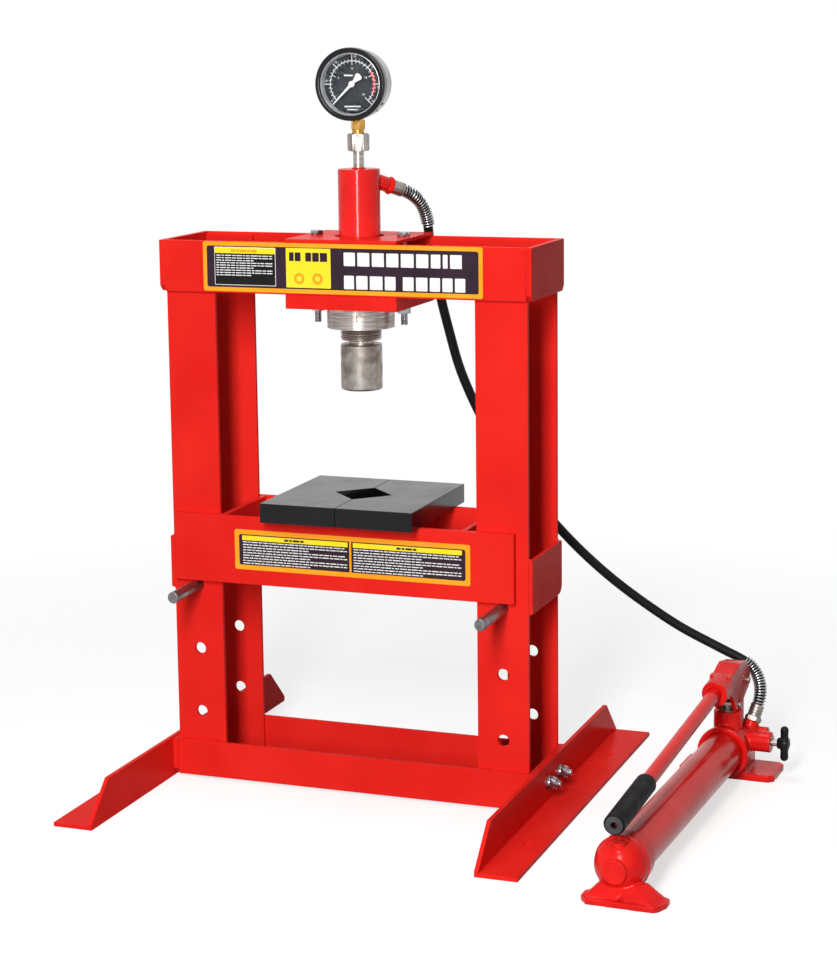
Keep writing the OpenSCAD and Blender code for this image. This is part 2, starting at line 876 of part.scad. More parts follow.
module ram_port_fitting() {
    color(red)
        rod_along(ram_port - (ferrule_l + fitting_l) * ram_port_way,
                  ram_port_way, fitting_l, fitting_af / 2 / cos(30), 6);
}
module pump_port_fitting() {
    color(steel)
        at_pump()
            rod_along(pump_port - (ferrule_l + fitting_l) * pump_port_way,
                      pump_port_way, fitting_l, fitting_af / 2 / cos(30), 6);
}
module hose_ferrules() {
    color(steel) {
        rod_along(ram_port - ferrule_l * ram_port_way, ram_port_way, ferrule_l, ferrule_d / 2);
        at_pump()
            rod_along(pump_port - ferrule_l * unit(pump_port_way), pump_port_way, ferrule_l, ferrule_d / 2);
    }
}

// The smooth points between the two ports, which stay as they are so that the ends leave straight
hose_points = concat(
    [hose_route[0]],
    finer([for (i = [1:len(hose_route) - 2]) hose_route[i]], 2),
    [hose_route[len(hose_route) - 1]]
);

module hose() {
    color(black) swept(hose_points, hose_d / 2, hose_sides);
}

// The points that a spring guard covers, at the ram's end or the pump's end of the hose
function guard_points(from_ram) =
    let (first = from_ram ? 0 : len(hose_points) - 1 - guard_steps)
    [for (i = [first:first + guard_steps]) hose_points[i]];

module hose_guards() {
    color(steel)
        for (from_ram = [true, false])
            sleeve(guard_points(from_ram), guard_d / 2, hose_d / 2 + guard_gap, hose_sides);
}

// ---------- pump ----------

module pump_tank() {
    color(red)
        at_pump()
            translate([0, tank_front, tank_z])
                rotate([-90, 0, 0])
                    difference() {
                        cylinder(h = tank_len + head_rim_l - tank_front, r = tank_d / 2);
                        translate([0, 0, -eps])
                            cylinder(h = tank_len + head_rim_l + 2 * eps, r = tank_d / 2 - tank_wall);
                    }
}

module pump_front_cap() {
    plate_t = 8;
    neck_z = 26;
    rim = 0.8;
    inner_r = tank_d / 2 - tank_wall;
    color(red)
        at_pump()
            difference() {
                union() {
                    translate([0, 0, tank_z])
                        rotate([-90, 0, 0])
                            rotate_extrude()
                                polygon(concat(
                                    [[0, -cap_r]],
                                    arc(0, 0, cap_r, -90, 0, 16),
                                    [[cap_r + rim, rim], [cap_r + rim, 3 * rim],
                                     [cap_r - rim, 5 * rim], [cap_r - rim, cap_collar],
                                     [0, cap_collar]]
                                ));
                    translate([0, -cap_r - 1, tank_z])
                        rotate([-90, 0, 0])
                            cylinder(h = 8, r = 16.5);
                    translate([0, filler_y, tank_z])
                        cylinder(h = filler_seat + filler_rim, r = filler_r + 2);
                    foot_flare(plate_t - eps, neck_z);
                    linear_extrude(plate_t)
                        polygon([
                            [-45, -32], [-35, -44], [54, -44], [60, -38],
                            [66, -22], [66, -8], [60, -3], [-35, -3], [-45, -14]
                        ]);
                }
                translate([0, 0, tank_z])
                    rotate([-90, 0, 0]) {
                        translate([0, 0, tank_front])
                            cylinder(h = cap_collar, r = tank_d / 2 + tank_fit);
                        cylinder(h = cap_collar, r = inner_r);
                        sphere(r = inner_r);
                    }
                translate([0, filler_y, tank_z])
                    cylinder(h = cap_r + eps, r = 6 + thread_gap);
                translate([0, filler_y, tank_z + filler_seat])
                    cylinder(h = cap_r, r = filler_r + 0.6);
                translate([0, filler_y, tank_z + filler_seat + filler_rim])
                    cylinder(h = cap_r, r = filler_r + 3.6);
                translate([9, -36, -eps])
                    cylinder(h = 20, r = 3);
            }
}
// The flared block between the foot's plate and the round cap, as a solid with flat faces
module foot_flare(low, top) {
    foot_edge = [[-40, -36], [50, -40], [58, -33], [63, -20], [63, -8], [-40, -8]];
    neck_edge = [[-20, -23], [22, -23], [30, -19], [37, -13], [37, -8], [-22, -8]];
    n = len(foot_edge);
    polyhedron(
        points = concat(
            [for (q = foot_edge) [q[0], q[1], low]],
            [for (q = neck_edge) [q[0], q[1], top]]
        ),
        faces = concat(
            [[for (i = [0:n - 1]) i], [for (i = [n - 1:-1:0]) n + i]],
            [for (i = [0:n - 1]) [i, n + i, (i + 1) % n]],
            [for (i = [0:n - 1]) [(i + 1) % n, n + i, n + (i + 1) % n]]
        )
    );
}

module filler_plug() {
    color(red)
        at_pump()
            translate([0, filler_y, tank_z + filler_seat])
                difference() {
                    union() {
                        cylinder(h = 4.5, r = filler_r);
                        translate([0, 0, -12])
                            cylinder(h = 13, r = 6);
                    }
                    translate([0, 0, 1])
                        cylinder(h = 5, r = 4.6, $fn = 6);
                }
}

module pump_head() {
    back = tank_len + head_l;
    plate_t = 10;
    lug_half_l = 11;
    color(red)
        at_pump()
            difference() {
                union() {
                    translate([0, tank_len, tank_z])
                        rotate([-90, 0, 0])
                            cylinder(h = head_rim_l, r = head_rim_r);
                    translate([0, tank_len, tank_z])
                        rotate([-90, 0, 0])
                            cylinder(h = head_l, r = head_body_r);
                    translate([0, plunger_y, tank_z])
                        cylinder(h = plunger_boss_top - tank_z, r = plunger_boss_r);
                    translate([0, valve_y, valve_z])
                        rotate([0, 90, 0])
                            cylinder(h = valve_boss_x, r = valve_boss_r);
                    translate([0, valve_y + 33, valve_z + 2])
                        rotate([0, 90, 0])
                            cylinder(h = valve_boss_x - 13, r = 10);
                    rod_along(pump_port - (ferrule_l + fitting_l + ram_boss_l) * pump_port_way,
                              pump_port_way, ram_boss_l, ram_boss_d / 2);
                    translate([-lug_half, pivot_y - lug_half_l, tank_z])
                        cube([2 * lug_half, 2 * lug_half_l, pivot_z - tank_z]);
                    translate([-lug_half, pivot_y, pivot_z])
                        rotate([0, 90, 0])
                            cylinder(h = 2 * lug_half, r = lug_half_l);
                    translate([-30, tank_len + 17, plate_t - eps])
                        cube([60, 62, tank_z - plate_t]);
                    linear_extrude(plate_t)
                        polygon([
                            [-72, tank_len + 25], [-64, tank_len + 17], [64, tank_len + 17],
                            [72, tank_len + 25], [72, back + 2], [64, back + 10],
                            [-64, back + 10], [-72, back + 2]
                        ]);
                }
                translate([0, tank_len - eps, tank_z])
                    rotate([-90, 0, 0])
                        cylinder(h = head_rim_l + eps, r = tank_d / 2 + tank_fit);
                translate([0, plunger_y, plunger_bottom - 2])
                    cylinder(h = plunger_boss_top, r = plunger_d / 2 + pin_fit);
                translate([0, plunger_y, plunger_boss_top - gland_nut_in])
                    cylinder(h = gland_nut_in + eps, r = gland_nut_r);
                translate([valve_boss_x - valve_in, valve_y, valve_z])
                    rotate([0, 90, 0])
                        cylinder(h = valve_in + eps, r = stem_d / 2 + pin_fit);
                translate([-lug_half - eps, pivot_y, pivot_z])
                    rotate([0, 90, 0])
                        cylinder(h = 2 * (lug_half + eps), r = pivot_pin_d / 2 + pin_fit);
            }
}
module plunger_gland() {
    color(steel)
        at_pump()
            translate([0, plunger_y, plunger_boss_top - gland_nut_in])
                difference() {
                    cylinder(h = gland_nut_in + gland_nut_out, r = gland_nut_r - thread_gap);
                    translate([0, 0, -eps])
                        cylinder(h = gland_nut_in + 4, r = plunger_d / 2 + pin_fit);
                }
}

module pump_plunger() {
    eye_r = 7;
    color(steel)
        at_pump()
            difference() {
                union() {
                    translate([0, plunger_y, plunger_bottom])
                        cylinder(h = lever_pin_z - plunger_bottom, r = plunger_d / 2);
                    translate([-plunger_d / 2, plunger_y, lever_pin_z])
                        rotate([0, 90, 0])
                            cylinder(h = plunger_d, r = eye_r);
                }
                translate([-plunger_d, plunger_y, lever_pin_z])
                    rotate([0, 90, 0])
                        cylinder(h = 2 * plunger_d, r = lever_pin_d / 2);
            }
}

module plunger_pin() {
    half = cheek_in + cheek_t + 2;
    color(steel)
        at_pump()
            translate([-half, plunger_y, lever_pin_z])
                rotate([0, 90, 0])
                    cylinder(h = 2 * half, r = lever_pin_d / 2);
}

module pivot_pin() {
    half = cheek_in + cheek_t + 3;
    color(steel)
        at_pump()
            translate([-half, pivot_y, pivot_z])
                rotate([0, 90, 0])
                    cylinder(h = 2 * half, r = pivot_pin_d / 2);
}

// Places a shape drawn about +Z so that +Z runs forward along the handle, down its slope
module along_handle() {
    at_pump()
        translate(handle_end)
            rotate([90 + handle_slope, 0, 0])
                children();
}

// Slot for the plunger's pin through both cheeks of the bracket, running towards the pivot
module pin_slot() {
    r = lever_pin_d / 2 + slot_play;
    translate([-bracket_half, plunger_y, lever_pin_z])
        rotate([half_swing, 0, 0]) {
            for (y = [0, slot_l])
                translate([0, y, 0])
                    rotate([0, 90, 0])
                        cylinder(h = 2 * bracket_half, r = r);
            translate([0, 0, -r])
                cube([2 * bracket_half, slot_l, 2 * r]);
        }
}

module handle_bracket() {
    front = plunger_y - 43;
    cheek = [
        [front, pivot_z + 4], [front, pivot_z + 26], [front + 46, pivot_z + 38],
        [pivot_y - 4, pivot_z + 30], [pivot_y + 12, pivot_z + 12], [pivot_y + 12, pivot_z - 8],
        [pivot_y + 4, pivot_z - 13], [plunger_y + 18, lever_pin_z - 4],
        [plunger_y + 12, lever_pin_z - 7.5], [plunger_y - 10, lever_pin_z - 7.5],
        [plunger_y - 16, lever_pin_z - 2]
    ];
    web_t = 7;
    color(red)
        at_pump()
            difference() {
                union() {
                    for (s = [-1, 1])
                        translate([s < 0 ? -cheek_in - cheek_t : cheek_in, 0, 0])
                            rotate([90, 0, 90])
                                linear_extrude(cheek_t)
                                    polygon(cheek);
                    translate([-cheek_in - eps, 0, 0])
                        rotate([90, 0, 90])
                            linear_extrude(2 * (cheek_in + eps))
                                polygon([
                                    [front, pivot_z + 4], [front, pivot_z + 26],
                                    [front + 46, pivot_z + 38], [pivot_y - 4, pivot_z + 30],
                                    [pivot_y - 4, pivot_z + 30 - web_t],
                                    [front + 46, pivot_z + 38 - web_t], [front + 12, pivot_z + 20],
                                    [front + 12, pivot_z + 4]
                                ]);
                    translate(handle_end)
                        rotate([90 + handle_slope, 0, 0])
                            cylinder(h = socket_l, r = socket_r);
                    translate([-cheek_in - cheek_t, handle_end[1] - 6, handle_end[2] - socket_r + 4])
                        cube([2 * (cheek_in + cheek_t), 14, 2 * socket_r - 6]);
                }
                translate(handle_end)
                    rotate([90 + handle_slope, 0, 0])
                        cylinder(h = socket_l + eps, r = handle_d / 2 + thread_gap);
                translate([-bracket_half, pivot_y, pivot_z])
                    rotate([0, 90, 0])
                        cylinder(h = 2 * bracket_half, r = pivot_pin_d / 2 + pin_fit);
                pin_slot();
            }
}

module pump_handle() {
    wall = 2.5;
    color(red)
        along_handle()
            difference() {
                cylinder(h = handle_l, r = handle_d / 2);
                translate([0, 0, -eps])
                    cylinder(h = handle_l + 2 * eps, r = handle_d / 2 - wall);
            }
}

module handle_grip() {
    end_t = 4;
    color(black)
        along_handle()
            translate([0, 0, handle_l - grip_l + grip_over])
                difference() {
                    cylinder(h = grip_l, r = grip_d / 2);
                    translate([0, 0, -eps])
                        cylinder(h = grip_l - grip_over + eps, r = handle_d / 2 + tank_fit);
                    translate([0, 0, -eps])
                        cylinder(h = grip_l + 2 * eps, r = grip_hole_d / 2);
                    translate([0, 0, grip_l - grip_over - eps])
                        cylinder(h = grip_over - end_t + eps, r = handle_d / 2 - 2);
                }
}

module valve_stem() {
    color(steel)
        at_pump()
            translate([valve_boss_x - valve_in + 2, valve_y, valve_z])
                rotate([0, 90, 0])
                    cylinder(h = valve_in - 2 + knob_x - valve_boss_x + knob_l / 2, r = stem_d / 2);
}

module valve_knob() {
    wing_t = 9;
    color(black)
        at_pump()
            translate([knob_x, valve_y, valve_z])
                difference() {
                    union() {
                        rotate([0, 90, 0])
                            cylinder(h = knob_l, r = 10);
                        translate([4, -wing_t / 2, -knob_wing + 5])
                            cube([10, wing_t, 2 * knob_wing - 10]);
                        for (s = [-1, 1])
                            translate([9, -wing_t / 2, s * (knob_wing - 5)])
                                rotate([-90, 0, 0])
                                    cylinder(h = wing_t, r = 5);
                    }
                    translate([-eps, 0, 0])
                        rotate([0, 90, 0])
                            cylinder(h = knob_l / 2 + eps, r = stem_d / 2);
                }
}

front_left_upright();
front_right_upright();
back_left_upright();
back_right_upright();
head_front_plate();
head_back_plate();
head_end_plates();
base_front_plate();
base_back_plate();
base_end_plates();
tie_plates();
left_foot();
right_foot();
foot_bolts();
foot_nuts();
left_bed_pin();
right_bed_pin();
bed_front_plate();
bed_back_plate();
bed_cross_plates();
left_arbor_plate();
right_arbor_plate();
clamp_top_plate();
clamp_bottom_plate();
clamp_bolts();
clamp_nuts();
ram_cylinder();
ring_nut();
gland();
piston_rod();
piston_seal();
return_spring();
ram_head();
gauge_tube();
gauge_adapter();
gauge_stem();
gauge_case();
gauge_bezel();
gauge_dial();
gauge_lens();
gauge_pointer();
ram_port_fitting();
hose_ferrules();
hose_guards();
hose();
pump_port_fitting();
pump_tank();
pump_front_cap();
filler_plug();
pump_head();
plunger_gland();
pump_plunger();
plunger_pin();
handle_bracket();
pivot_pin();
pump_handle();
handle_grip();
valve_stem();
valve_knob();
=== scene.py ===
"""Looks of a small hydraulic shop press with a hand pump, in metres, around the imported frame."""
import math

import bmesh
import bpy
import numpy as np
from mathutils import Matrix, Vector


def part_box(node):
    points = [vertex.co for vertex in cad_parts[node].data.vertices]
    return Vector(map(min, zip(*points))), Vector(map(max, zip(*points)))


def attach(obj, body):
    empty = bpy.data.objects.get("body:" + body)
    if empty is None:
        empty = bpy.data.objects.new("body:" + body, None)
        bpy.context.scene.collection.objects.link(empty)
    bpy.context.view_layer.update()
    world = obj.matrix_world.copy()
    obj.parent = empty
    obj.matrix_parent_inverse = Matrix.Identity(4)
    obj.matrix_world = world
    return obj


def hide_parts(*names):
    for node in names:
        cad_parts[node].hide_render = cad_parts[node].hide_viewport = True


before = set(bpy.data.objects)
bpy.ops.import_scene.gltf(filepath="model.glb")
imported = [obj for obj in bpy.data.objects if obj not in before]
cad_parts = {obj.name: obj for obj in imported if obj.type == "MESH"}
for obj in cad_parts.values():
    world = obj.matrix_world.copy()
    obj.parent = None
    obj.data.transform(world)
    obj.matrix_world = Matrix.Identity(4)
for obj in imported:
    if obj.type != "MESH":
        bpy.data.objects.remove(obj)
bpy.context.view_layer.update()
bpy.context.scene.view_settings.view_transform = "Standard"
MM = 0.001
ORIGIN = (0, 0, 0)
UP = (0, 0, 1)
DOWN = (0, 0, -1)


# ---------- places, taken from the frame ----------

def mm(values):
    """Millimetres as metres, for one number or for rows of them."""
    return np.asarray(values, float) * MM


def unit(v):
    """The vector at length one."""
    v = np.asarray(v, float)
    return v / np.linalg.norm(v)


def low(node):
    """Lowest corner of a CAD node."""
    return np.array(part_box(node)[0])


def high(node):
    """Highest corner of a CAD node."""
    return np.array(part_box(node)[1])


def middle(node):
    """Middle of a CAD node's box."""
    return (low(node) + high(node)) / 2


PUMP_TURN = math.radians(2.0)
PUMP_FRONT = np.array([0.482, -0.338, 0.0])
PUMP_AXES = np.array([
    [math.cos(PUMP_TURN), -math.sin(PUMP_TURN), 0.0],
    [math.sin(PUMP_TURN), math.cos(PUMP_TURN), 0.0],
    [0.0, 0.0, 1.0],
])


def on_pump(points):
    """Points of the pump's own axes, in metres, moved to where the pump stands."""
    return PUMP_FRONT + np.asarray(points, float) @ PUMP_AXES


def pump_dir(way):
    """A direction of the pump's own axes in the frame's axes."""
    return np.asarray(way, float) @ PUMP_AXES


# ---------- camera and light ----------

def add_object(name, data):
    """A new object in the scene."""
    made = bpy.data.objects.new(name, data)
    bpy.context.scene.collection.objects.link(made)
    return made


def look_camera(place, azimuth, pitch, roll, lens, shift):
    """A camera at place that looks along azimuth, pitched down and rolled, all in degrees."""
    az, down, tilt = np.radians([azimuth, pitch, roll])
    ahead = np.array([-math.sin(az) * math.cos(down), math.cos(az) * math.cos(down), -math.sin(down)])
    level = np.array([math.cos(az), math.sin(az), 0.0])
    fall = np.cross(ahead, level)
    right = math.cos(tilt) * level + math.sin(tilt) * fall
    under = -math.sin(tilt) * level + math.cos(tilt) * fall
    data = bpy.data.cameras.new("press_camera")
    data.lens = lens
    data.sensor_width = 36.0
    data.shift_y = shift
    data.clip_end = 60.0
    turn = Matrix([list(right), list(-under), list(-ahead)]).transposed().to_4x4()
    camera = add_object("press_camera", data)
    camera.matrix_world = Matrix.Translation(Vector(place)) @ turn
    bpy.context.scene.camera = camera


look_camera((1.23545, -3.0815, 1.0957), azimuth=20.45, pitch=9.27, roll=0.66, lens=86.07, shift=-0.08)


def area_light(name, place, target, wide, tall, watts):
    """A soft lamp of a given width and height that faces its target."""
    data = bpy.data.lights.new(name, "AREA")
    data.shape = "RECTANGLE"
    data.energy = watts
    data.size = wide
    data.size_y = tall
    lamp = add_object(name, data)
    lamp.location = place
    lamp.rotation_euler = (Vector(target) - Vector(place)).to_track_quat("-Z", "Y").to_euler()


area_light("key_lamp", (0.62, -3.1, 1.75), target=(0.05, 0.0, 0.5), wide=0.5, tall=2.3, watts=128.0)
area_light("top_lamp", (-0.3, 0.1, 3.0), target=(0.1, 0.0, 0.3), wide=1.4, tall=1.4, watts=34.0)


# ---------- materials ----------

FULL_WHITE = (1.0, 1.0, 1.0, 1.0)


def linear(r, g, b):
    """A screen colour from 0 to 255 as linear light with alpha."""
    c = np.array([r, g, b]) / 255.0
    lin = np.where(c <= 0.04045, c / 12.92, ((c + 0.055) / 1.055) ** 2.4)
    return (*[float(v) for v in lin], 1.0)


def set_inputs(node, values):
    """Sets a node's own sockets by their labels."""
    for label, value in values.items():
        node.inputs[label].default_value = value


def new_material(name):
    """A material with nodes, with its tree and its shader."""
    material = bpy.data.materials.new(name)
    material.use_nodes = True
    return material, material.node_tree, material.node_tree.nodes["Principled BSDF"]


def new_group(name, inputs, outputs):
    """A shader node group with float inputs (name, value) and outputs (name, kind)."""
    group = bpy.data.node_groups.new(name, "ShaderNodeTree")
    for label, value in inputs:
        socket = group.interface.new_socket(label, in_out="INPUT", socket_type="NodeSocketFloat")
        socket.default_value = value
    for label, kind in outputs:
        group.interface.new_socket(label, in_out="OUTPUT", socket_type=kind)
    return group, group.nodes.new("NodeGroupInput"), group.nodes.new("NodeGroupOutput")


def object_noise(tree, scale_from=None, scale=10.0, detail=3.0, stretch=None):
    """A noise texture on object coordinates, its scale set or linked, stretched by a Mapping node."""
    coords = tree.nodes.new("ShaderNodeTexCoord")
    noise = tree.nodes.new("ShaderNodeTexNoise")
    set_inputs(noise, {"Detail": detail, "Scale": scale})
    if scale_from is not None:
        tree.links.new(scale_from, noise.inputs["Scale"])
    if stretch is None:
        tree.links.new(coords.outputs["Object"], noise.inputs["Vector"])
    else:
        mapping = tree.nodes.new("ShaderNodeMapping")
        mapping.inputs["Scale"].default_value = stretch
        tree.links.new(coords.outputs["Object"], mapping.inputs["Vector"])
        tree.links.new(mapping.outputs["Vector"], noise.inputs["Vector"])
    return noise


NOISE_LOW, NOISE_HIGH = 0.3, 0.7       # where nearly all of a noise texture's values lie


def ranged(tree, source, lo, hi, from_lo=NOISE_LOW, from_hi=NOISE_HIGH):
    """A value moved from one range to another. The new range's ends are numbers or other nodes' outputs."""
    node = tree.nodes.new("ShaderNodeMapRange")
    set_inputs(node, {"From Min": from_lo, "From Max": from_hi})
    for label, end in (("To Min", lo), ("To Max", hi)):
        if isinstance(end, float):
            node.inputs[label].default_value = end
        else:
            tree.links.new(end, node.inputs[label])
    tree.links.new(source, node.inputs["Value"])
    return node.outputs["Result"]


def bumps_and_tone(group, given, out, fine, broad, depth):
    """Ends an effect group: bumps from a fine noise, roughness and tone from a broad one."""
    bump = group.nodes.new("ShaderNodeBump")
    bump.inputs["Distance"].default_value = depth
    group.links.new(given.outputs["Bump"], bump.inputs["Strength"])
    group.links.new(fine.outputs["Fac"], bump.inputs["Height"])
    rough = ranged(group, broad.outputs["Fac"], given.outputs["Low rough"], given.outputs["High rough"])
    group.links.new(bump.outputs["Normal"], out.inputs["Normal"])
    group.links.new(rough, out.inputs["Roughness"])
    group.links.new(broad.outputs["Fac"], out.inputs["Tone"])
    return group


EFFECT_OUTPUTS = [("Normal", "NodeSocketVector"), ("Roughness", "NodeSocketFloat"), ("Tone", "NodeSocketFloat")]


def surface_group():
    """Fine bumps, roughness and tone that vary over a surface: sprayed paint, plating or rubber."""
    group, given, out = new_group(
        "surface_grain",
        [("Grain", 700.0), ("Blotch", 14.0), ("Bump", 0.05), ("Low rough", 0.2), ("High rough", 0.4)],
        EFFECT_OUTPUTS)
    fine = object_noise(group, given.outputs["Grain"], detail=2.0)
    broad = object_noise(group, given.outputs["Blotch"], detail=4.0)
    return bumps_and_tone(group, given, out, fine, broad, depth=0.0004)


def lay_group():
    """Fine lines of a turned or ground surface: a noise stretched along the lay of the lines."""
    group, given, out = new_group(
        "turned_lay", [("Lines", 900.0), ("Bump", 0.1), ("Low rough", 0.2), ("High rough", 0.4)], EFFECT_OUTPUTS)
    lines = object_noise(group, given.outputs["Lines"], detail=3.0, stretch=(0.03, 0.03, 1.0))
    return bumps_and_tone(group, given, out, lines, lines, depth=0.0003)


GRAIN = surface_group()
LAY = lay_group()


def finish_material(name, colour, dark, group, values, metallic=0.0, coat=0.0, coat_rough=0.1, specular=0.5):
    """A material whose tone runs between two screen colours, with a group for its grain and roughness."""
    material, tree, shader = new_material(name)
    effect = tree.nodes.new("ShaderNodeGroup")
    effect.node_tree = group
    set_inputs(effect, values)
    tone = tree.nodes.new("ShaderNodeMix")
    tone.data_type = "RGBA"
    set_inputs(tone, {"A": linear(*colour), "B": linear(*dark)})
    tree.links.new(ranged(tree, effect.outputs["Tone"], 0.0, 1.0, 0.35, 0.65), tone.inputs["Factor"])
    tree.links.new(tone.outputs["Result"], shader.inputs["Base Color"])
    tree.links.new(effect.outputs["Roughness"], shader.inputs["Roughness"])
    tree.links.new(effect.outputs["Normal"], shader.inputs["Normal"])
    set_inputs(shader, {"Metallic": metallic, "Coat Weight": coat, "Coat Roughness": coat_rough,
                        "Specular IOR Level": specular})
    return material


def grained(name, colour, dark, grain, blotch, bump, rough, **shader_values):
    """A painted, plated or moulded finish, its roughness between two values."""
    values = {"Grain": grain, "Blotch": blotch, "Bump": bump, "Low rough": rough[0], "High rough": rough[1]}
    return finish_material(name, colour, dark, GRAIN, values, **shader_values)


def turned(name, colour, dark, lines, bump, rough):
    """A turned or ground metal that shows the lay of its fine lines."""
    values = {"Lines": lines, "Bump": bump, "Low rough": rough[0], "High rough": rough[1]}
    return finish_material(name, colour, dark, LAY, values, metallic=1.0)


def label_print(name, colour, dark):
    """One colour of a printed label under thin clear film."""
    return grained(name, colour, dark, grain=300.0, blotch=20.0, bump=0.03, rough=(0.22, 0.32),
                   coat=0.05, specular=0.1)


RED = grained("red_gloss_paint", (229, 42, 34), (221, 35, 30), grain=260, blotch=9, bump=0.04,
              rough=(0.22, 0.34), specular=0.01)
CAST_RED = grained("red_paint_on_castings", (226, 30, 24), (206, 20, 19), grain=320, blotch=30, bump=0.2,
                   rough=(0.22, 0.36), coat=0.08, coat_rough=0.15, specular=0.1)
TUBE_RED = grained("red_gloss_on_tubes", (230, 30, 24), (216, 22, 20), grain=260, blotch=14, bump=0.03,
                   rough=(0.26, 0.38), coat=0.3, coat_rough=0.08, specular=0.05)
BLACK_IRON = grained("black_plate_enamel", (15, 15, 17), (9, 9, 11), grain=240, blotch=20, bump=0.06,
                     rough=(0.14, 0.26), coat=0.1, coat_rough=0.1, specular=0.2)
BLACK_ENAMEL = grained("gauge_black_enamel", (18, 18, 20), (11, 11, 13), grain=500, blotch=40, bump=0.03,
                       rough=(0.14, 0.24), coat=0.1, coat_rough=0.06, specular=0.2)
TURNED = turned("turned_steel", (188, 180, 174), (128, 118, 112), lines=900, bump=0.12, rough=(0.26, 0.42))
CAST_STEEL = grained("plated_cast_steel", (168, 162, 156), (122, 114, 108), grain=420, blotch=60, bump=0.3,
                     rough=(0.3, 0.48), metallic=1.0)
PIN_STEEL = grained("pin_steel", (140, 138, 140), (104, 100, 100), grain=300, blotch=50, bump=0.12,
                    rough=(0.26, 0.46), metallic=1.0)
ZINC = grained("zinc_plating", (176, 180, 186), (136, 140, 148), grain=600, blotch=90, bump=0.06,
               rough=(0.18, 0.32), metallic=1.0)
GUARD_STEEL = grained("spring_wire", (170, 170, 172), (120, 120, 122), grain=400, blotch=80, bump=0.05,
                      rough=(0.2, 0.34), metallic=1.0)
STAINLESS = grained("stainless_case", (146, 148, 152), (126, 128, 132), grain=500, blotch=30, bump=0.02,
                    rough=(0.12, 0.2), metallic=1.0)
SATIN_RING = grained("satin_silver_ring", (206, 208, 212), (188, 190, 194), grain=500, blotch=30, bump=0.02,
                     rough=(0.3, 0.4), metallic=0.3)
BRASS = grained("brass", (206, 162, 84), (170, 124, 52), grain=500, blotch=70, bump=0.05, rough=(0.2, 0.34),
                metallic=1.0)
BRONZE = turned("bronze", (176, 130, 72), (150, 108, 56), lines=800, bump=0.1, rough=(0.26, 0.4))
RUBBER = grained("hose_rubber", (17, 17, 18), (11, 11, 12), grain=900, blotch=40, bump=0.18, rough=(0.4, 0.56),
                 specular=0.12)
GRIP = grained("grip_rubber", (19, 19, 20), (12, 12, 13), grain=700, blotch=60, bump=0.14, rough=(0.38, 0.55),
               specular=0.08)
GRIP_END = grained("grip_end_rubber", (78, 78, 80), (62, 62, 64), grain=700, blotch=60, bump=0.14,
                   rough=(0.5, 0.6), specular=0.1)
KNOB_PLASTIC = grained("knob_plastic", (17, 17, 18), (12, 12, 13), grain=800, blotch=50, bump=0.06,
                       rough=(0.24, 0.36), specular=0.15)
DIAL = grained("dial_enamel", (58, 61, 66), (50, 53, 58), grain=900, blotch=30, bump=0.02, rough=(0.4, 0.5),
               specular=0.1)
WHITE = grained("white_print", (240, 240, 238), (230, 230, 228), grain=900, blotch=60, bump=0.02,
                rough=(0.35, 0.45))
RED_PRINT = grained("red_print", (214, 40, 56), (200, 34, 48), grain=900, blotch=60, bump=0.02,
                    rough=(0.35, 0.45))
LABEL_ORANGE = label_print("label_orange", (250, 168, 40), (244, 156, 32))
LABEL_DARK = label_print("label_dark", (52, 36, 48), (44, 30, 40))
LABEL_BLACK = label_print("label_black", (26, 24, 26), (20, 18, 20))
LABEL_YELLOW = label_print("label_yellow", (250, 226, 52), (246, 218, 44))


def glass_material():
    """Clear lens glass."""
    material, tree, shader = new_material("lens_glass")
    set_inputs(shader, {"Base Color": FULL_WHITE, "Transmission Weight": 1.0, "IOR": 1.06})
    haze = object_noise(tree, scale=40.0)
    tree.links.new(ranged(tree, haze.outputs["Fac"], 0.0, 0.02), shader.inputs["Roughness"])
    return material


GLASS = glass_material()


# ---------- surroundings ----------

SOFT_LIGHT = 0.10        # even light from all round
FLOOR_GREY = 0.42
FLOOR_GLOW = 0.66        # with the lamps' light on the grey it comes to white
FLOOR_HALF = 2.6
FADE_FROM, FADE_TO = 0.7, 1.7


def seen_directly(tree):
    """A mask of the rays that show the surroundings: those of the camera, of gloss and through glass."""
    path = tree.nodes.new("ShaderNodeLightPath")
    mask = path.outputs["Is Camera Ray"]
    for label in ("Is Glossy Ray", "Is Transmission Ray"):
        node = tree.nodes.new("ShaderNodeMath")
        node.operation = "MAXIMUM"
        tree.links.new(mask, node.inputs[0])
        tree.links.new(path.outputs[label], node.inputs[1])
        mask = node.outputs["Value"]
    return mask


def build_world():
    """A plain studio: white wherever it is seen, mirrored or looked at through glass, and a weak even light
    on everything else."""
    world = bpy.data.worlds.new("studio")
    bpy.context.scene.world = world
    world.use_nodes = True
    tree = world.node_tree
    back = tree.nodes["Background"]
    strength = tree.nodes.new("ShaderNodeMix")
    set_inputs(strength, {"A": SOFT_LIGHT, "B": 1.0})
    tree.links.new(seen_directly(tree), strength.inputs["Factor"])
    tree.links.new(strength.outputs["Result"], back.inputs["Strength"])
    back.inputs["Color"].default_value = FULL_WHITE


